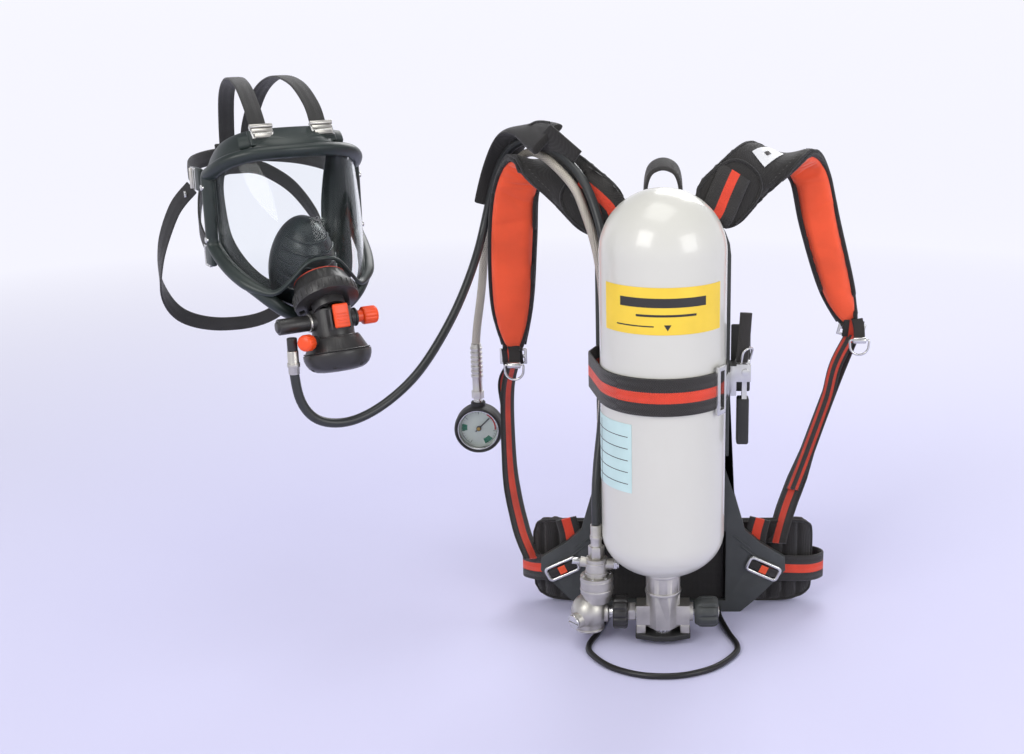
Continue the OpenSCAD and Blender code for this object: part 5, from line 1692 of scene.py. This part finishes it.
    cup = MASK @ Matrix.Translation(mm(0, -92, 436)) @ Matrix.Rotation(math.radians(20), 4, "X")
    folds = []
    for height in (-6, 8, 22, 35, 46):
        share = math.sqrt(1 - (height / 61.3) ** 2)
        line = [cup @ mm(35.6 * share * math.cos(math.radians(a)), 46.4 * share * math.sin(math.radians(a)), height)
                for a in range(196, 345, 6)]
        folds.append(tube("fold", line, 0.0032, 10, start=Z_AXIS))
    finished(joined(folds), "nose_cup_folds", "mask", finish("cup rubber"), smooth=60)
    build_head_harness()


def build_head_harness():
    straps = []
    for side in (-1, 1):
        for points, wide, way in (
                ([(34, -84, 588), (34, -67, 612), (31, -32, 634), (26, 14, 639), (20, 58, 620), (14, 88, 580),
                  (12, 98, 540)], 0.019, X_AXIS),
                ([(82, 4, 532), (79, 34, 536), (62, 70, 540), (34, 95, 542), (10, 102, 542)], 0.019, Z_AXIS),
                ([(70, 12, 444), (70, 40, 470), (56, 72, 502), (32, 94, 522), (12, 101, 528)], 0.017, Z_AXIS)):
            line = [MASK @ p for p in smooth([mm(side * x, y, z) for x, y, z in points], 8)]
            straps.append(webbing("strap", line, MASK.to_3x3() @ way, wide, 0.0026, 0.0002))
    plate = block((0.052, 0.0042, 0.038), (0, 0.1015, 0.538), MASK, 0.0019, 4)
    finished(joined(straps + [plate]), "head_harness_straps", "mask", finish("strap rubber"),
             ["head_harness"], 50)
    refine("harness_buckles", "mask", finish("bright steel"), 0.0007)
    rollers = []
    for side in (-1, 1):
        turn = MASK @ Matrix.Translation(mm(side * 34, -92, 588)) @ Matrix.Rotation(math.radians(-40), 4, "X")
        rollers.append(drum(0.0026, -0.0125, 0.0125, 20, 0.0004, turn @ Matrix.Translation((0, -0.0030, 0.0062)) @
                            Matrix.Rotation(math.radians(90), 4, "Y")))
        rollers.append(block((0.023, 0.0026, 0.0042), (0, -0.0030, 0.0006), turn, 0.0006, 2))
        rollers.append(block((0.020, 0.0024, 0.0052), (0, -0.0028, -0.0062), turn, 0.0006, 2))
        turn = MASK @ Matrix.Translation(mm(side * 84, -2, 532))
        rollers.append(drum(0.0022, -0.0115, 0.0115, 20, 0.0004, turn @ Matrix.Translation((side * 0.0022, 0.004, 0))))
    finished(joined(rollers), "buckle_rollers", "mask", finish("satin nickel"))
    neck = [MASK @ p for p in smooth([mm(*p) for p in (
        (-84, 12, 520), (-100, 34, 492), (-112, 60, 440), (-108, 84, 390), (-82, 100, 352), (-30, 106, 334),
        (30, 104, 340), (76, 84, 390), (92, 44, 460), (88, 12, 516))], 8)]
    finished(webbing("neck", neck, Z_AXIS, 0.017, 0.0022, 0.0002), "neck_strap_run", "mask", finish("strap rubber"),
             ["neck_strap"], 50)
    studs = []
    for point, away in (((-89, 19, 512), -1), ((90, 22, 500), 1)):
        turn = MASK @ Matrix.Translation(mm(*point)) @ Matrix.Rotation(math.radians(90 * away), 4, "Y")
        studs.append(drum(0.0042, 0.0, 0.0026, 32, 0.0008, turn))
    finished(joined(studs), "neck_strap_studs", "mask", finish("bright steel"))


# Operators and panel

STEPS = (
    ("stage", "Studio stage", "Adds the floor, lights and camera", build_stage),
    ("hoses", "Hoses and gauge", "Builds the air hose, the braided gauge hose and the gauge", build_hoses),
    ("carrying_frame", "Carrying frame", "Builds the back plate, foot loop and carry loop", build_carrying_frame),
    ("cylinder", "Cylinder", "Builds the wrapped cylinder with its plain labels", build_cylinder),
    ("band", "Band and latch", "Builds the cylinder band, its buckle and its lever", build_band),
    ("valve", "Cylinder valve", "Builds the valve, handwheel and guard", build_valve),
    ("reducer", "Reducer", "Builds the pressure reducer and the hand coupling", build_reducer),
    ("shoulder_pads", "Shoulder pads", "Builds the padded straps, lining, piping and hose sleeve", build_shoulder_pads),
    ("straps", "Pull straps", "Builds the pull straps, slides and rings", build_straps),
    ("waist", "Waist belt", "Builds the quilted waist pad, the belt and its slides", build_waist),
    ("demand_valve", "Demand valve", "Builds the demand valve and its controls", build_demand_valve),
    ("mask", "Mask", "Builds the visor, frame, seal, port and head harness", build_mask),
)


def operator_for(key, label, text, build):
    def execute(self, context):
        build()
        return {"FINISHED"}
    return type("BREATHINGSET_OT_" + key, (bpy.types.Operator,), {
        "bl_idname": "breathing_set." + key, "bl_label": label, "__doc__": text,
        "bl_options": {"REGISTER", "UNDO"}, "execute": execute})


OPERATORS = [operator_for(*step) for step in STEPS]


class BREATHINGSET_PT_panel(bpy.types.Panel):
    """Sizes, colours and pieces of the breathing set"""
    bl_idname = "BREATHINGSET_PT_panel"
    bl_label = "Breathing set"
    bl_space_type = "VIEW_3D"
    bl_region_type = "UI"
    bl_category = "Breathing set"

    def draw(self, context):
        for key in BreathingSetSettings.__annotations__:
            self.layout.prop(context.scene.breathing_set, key)
        for operator in OPERATORS:
            self.layout.operator(operator.bl_idname)


CLASSES = [BreathingSetSettings, *OPERATORS, BREATHINGSET_PT_panel]


def register():
    for each in CLASSES:
        bpy.utils.register_class(each)
    bpy.types.Scene.breathing_set = bpy.props.PointerProperty(type=BreathingSetSettings)


def unregister():
    del bpy.types.Scene.breathing_set
    for each in reversed(CLASSES):
        bpy.utils.unregister_class(each)


def main():
    register()
    bpy.ops.object.select_all(action="DESELECT")
    for key, _, _, _ in STEPS:
        getattr(bpy.ops.breathing_set, key)()


if __name__ == "__main__":
    main()
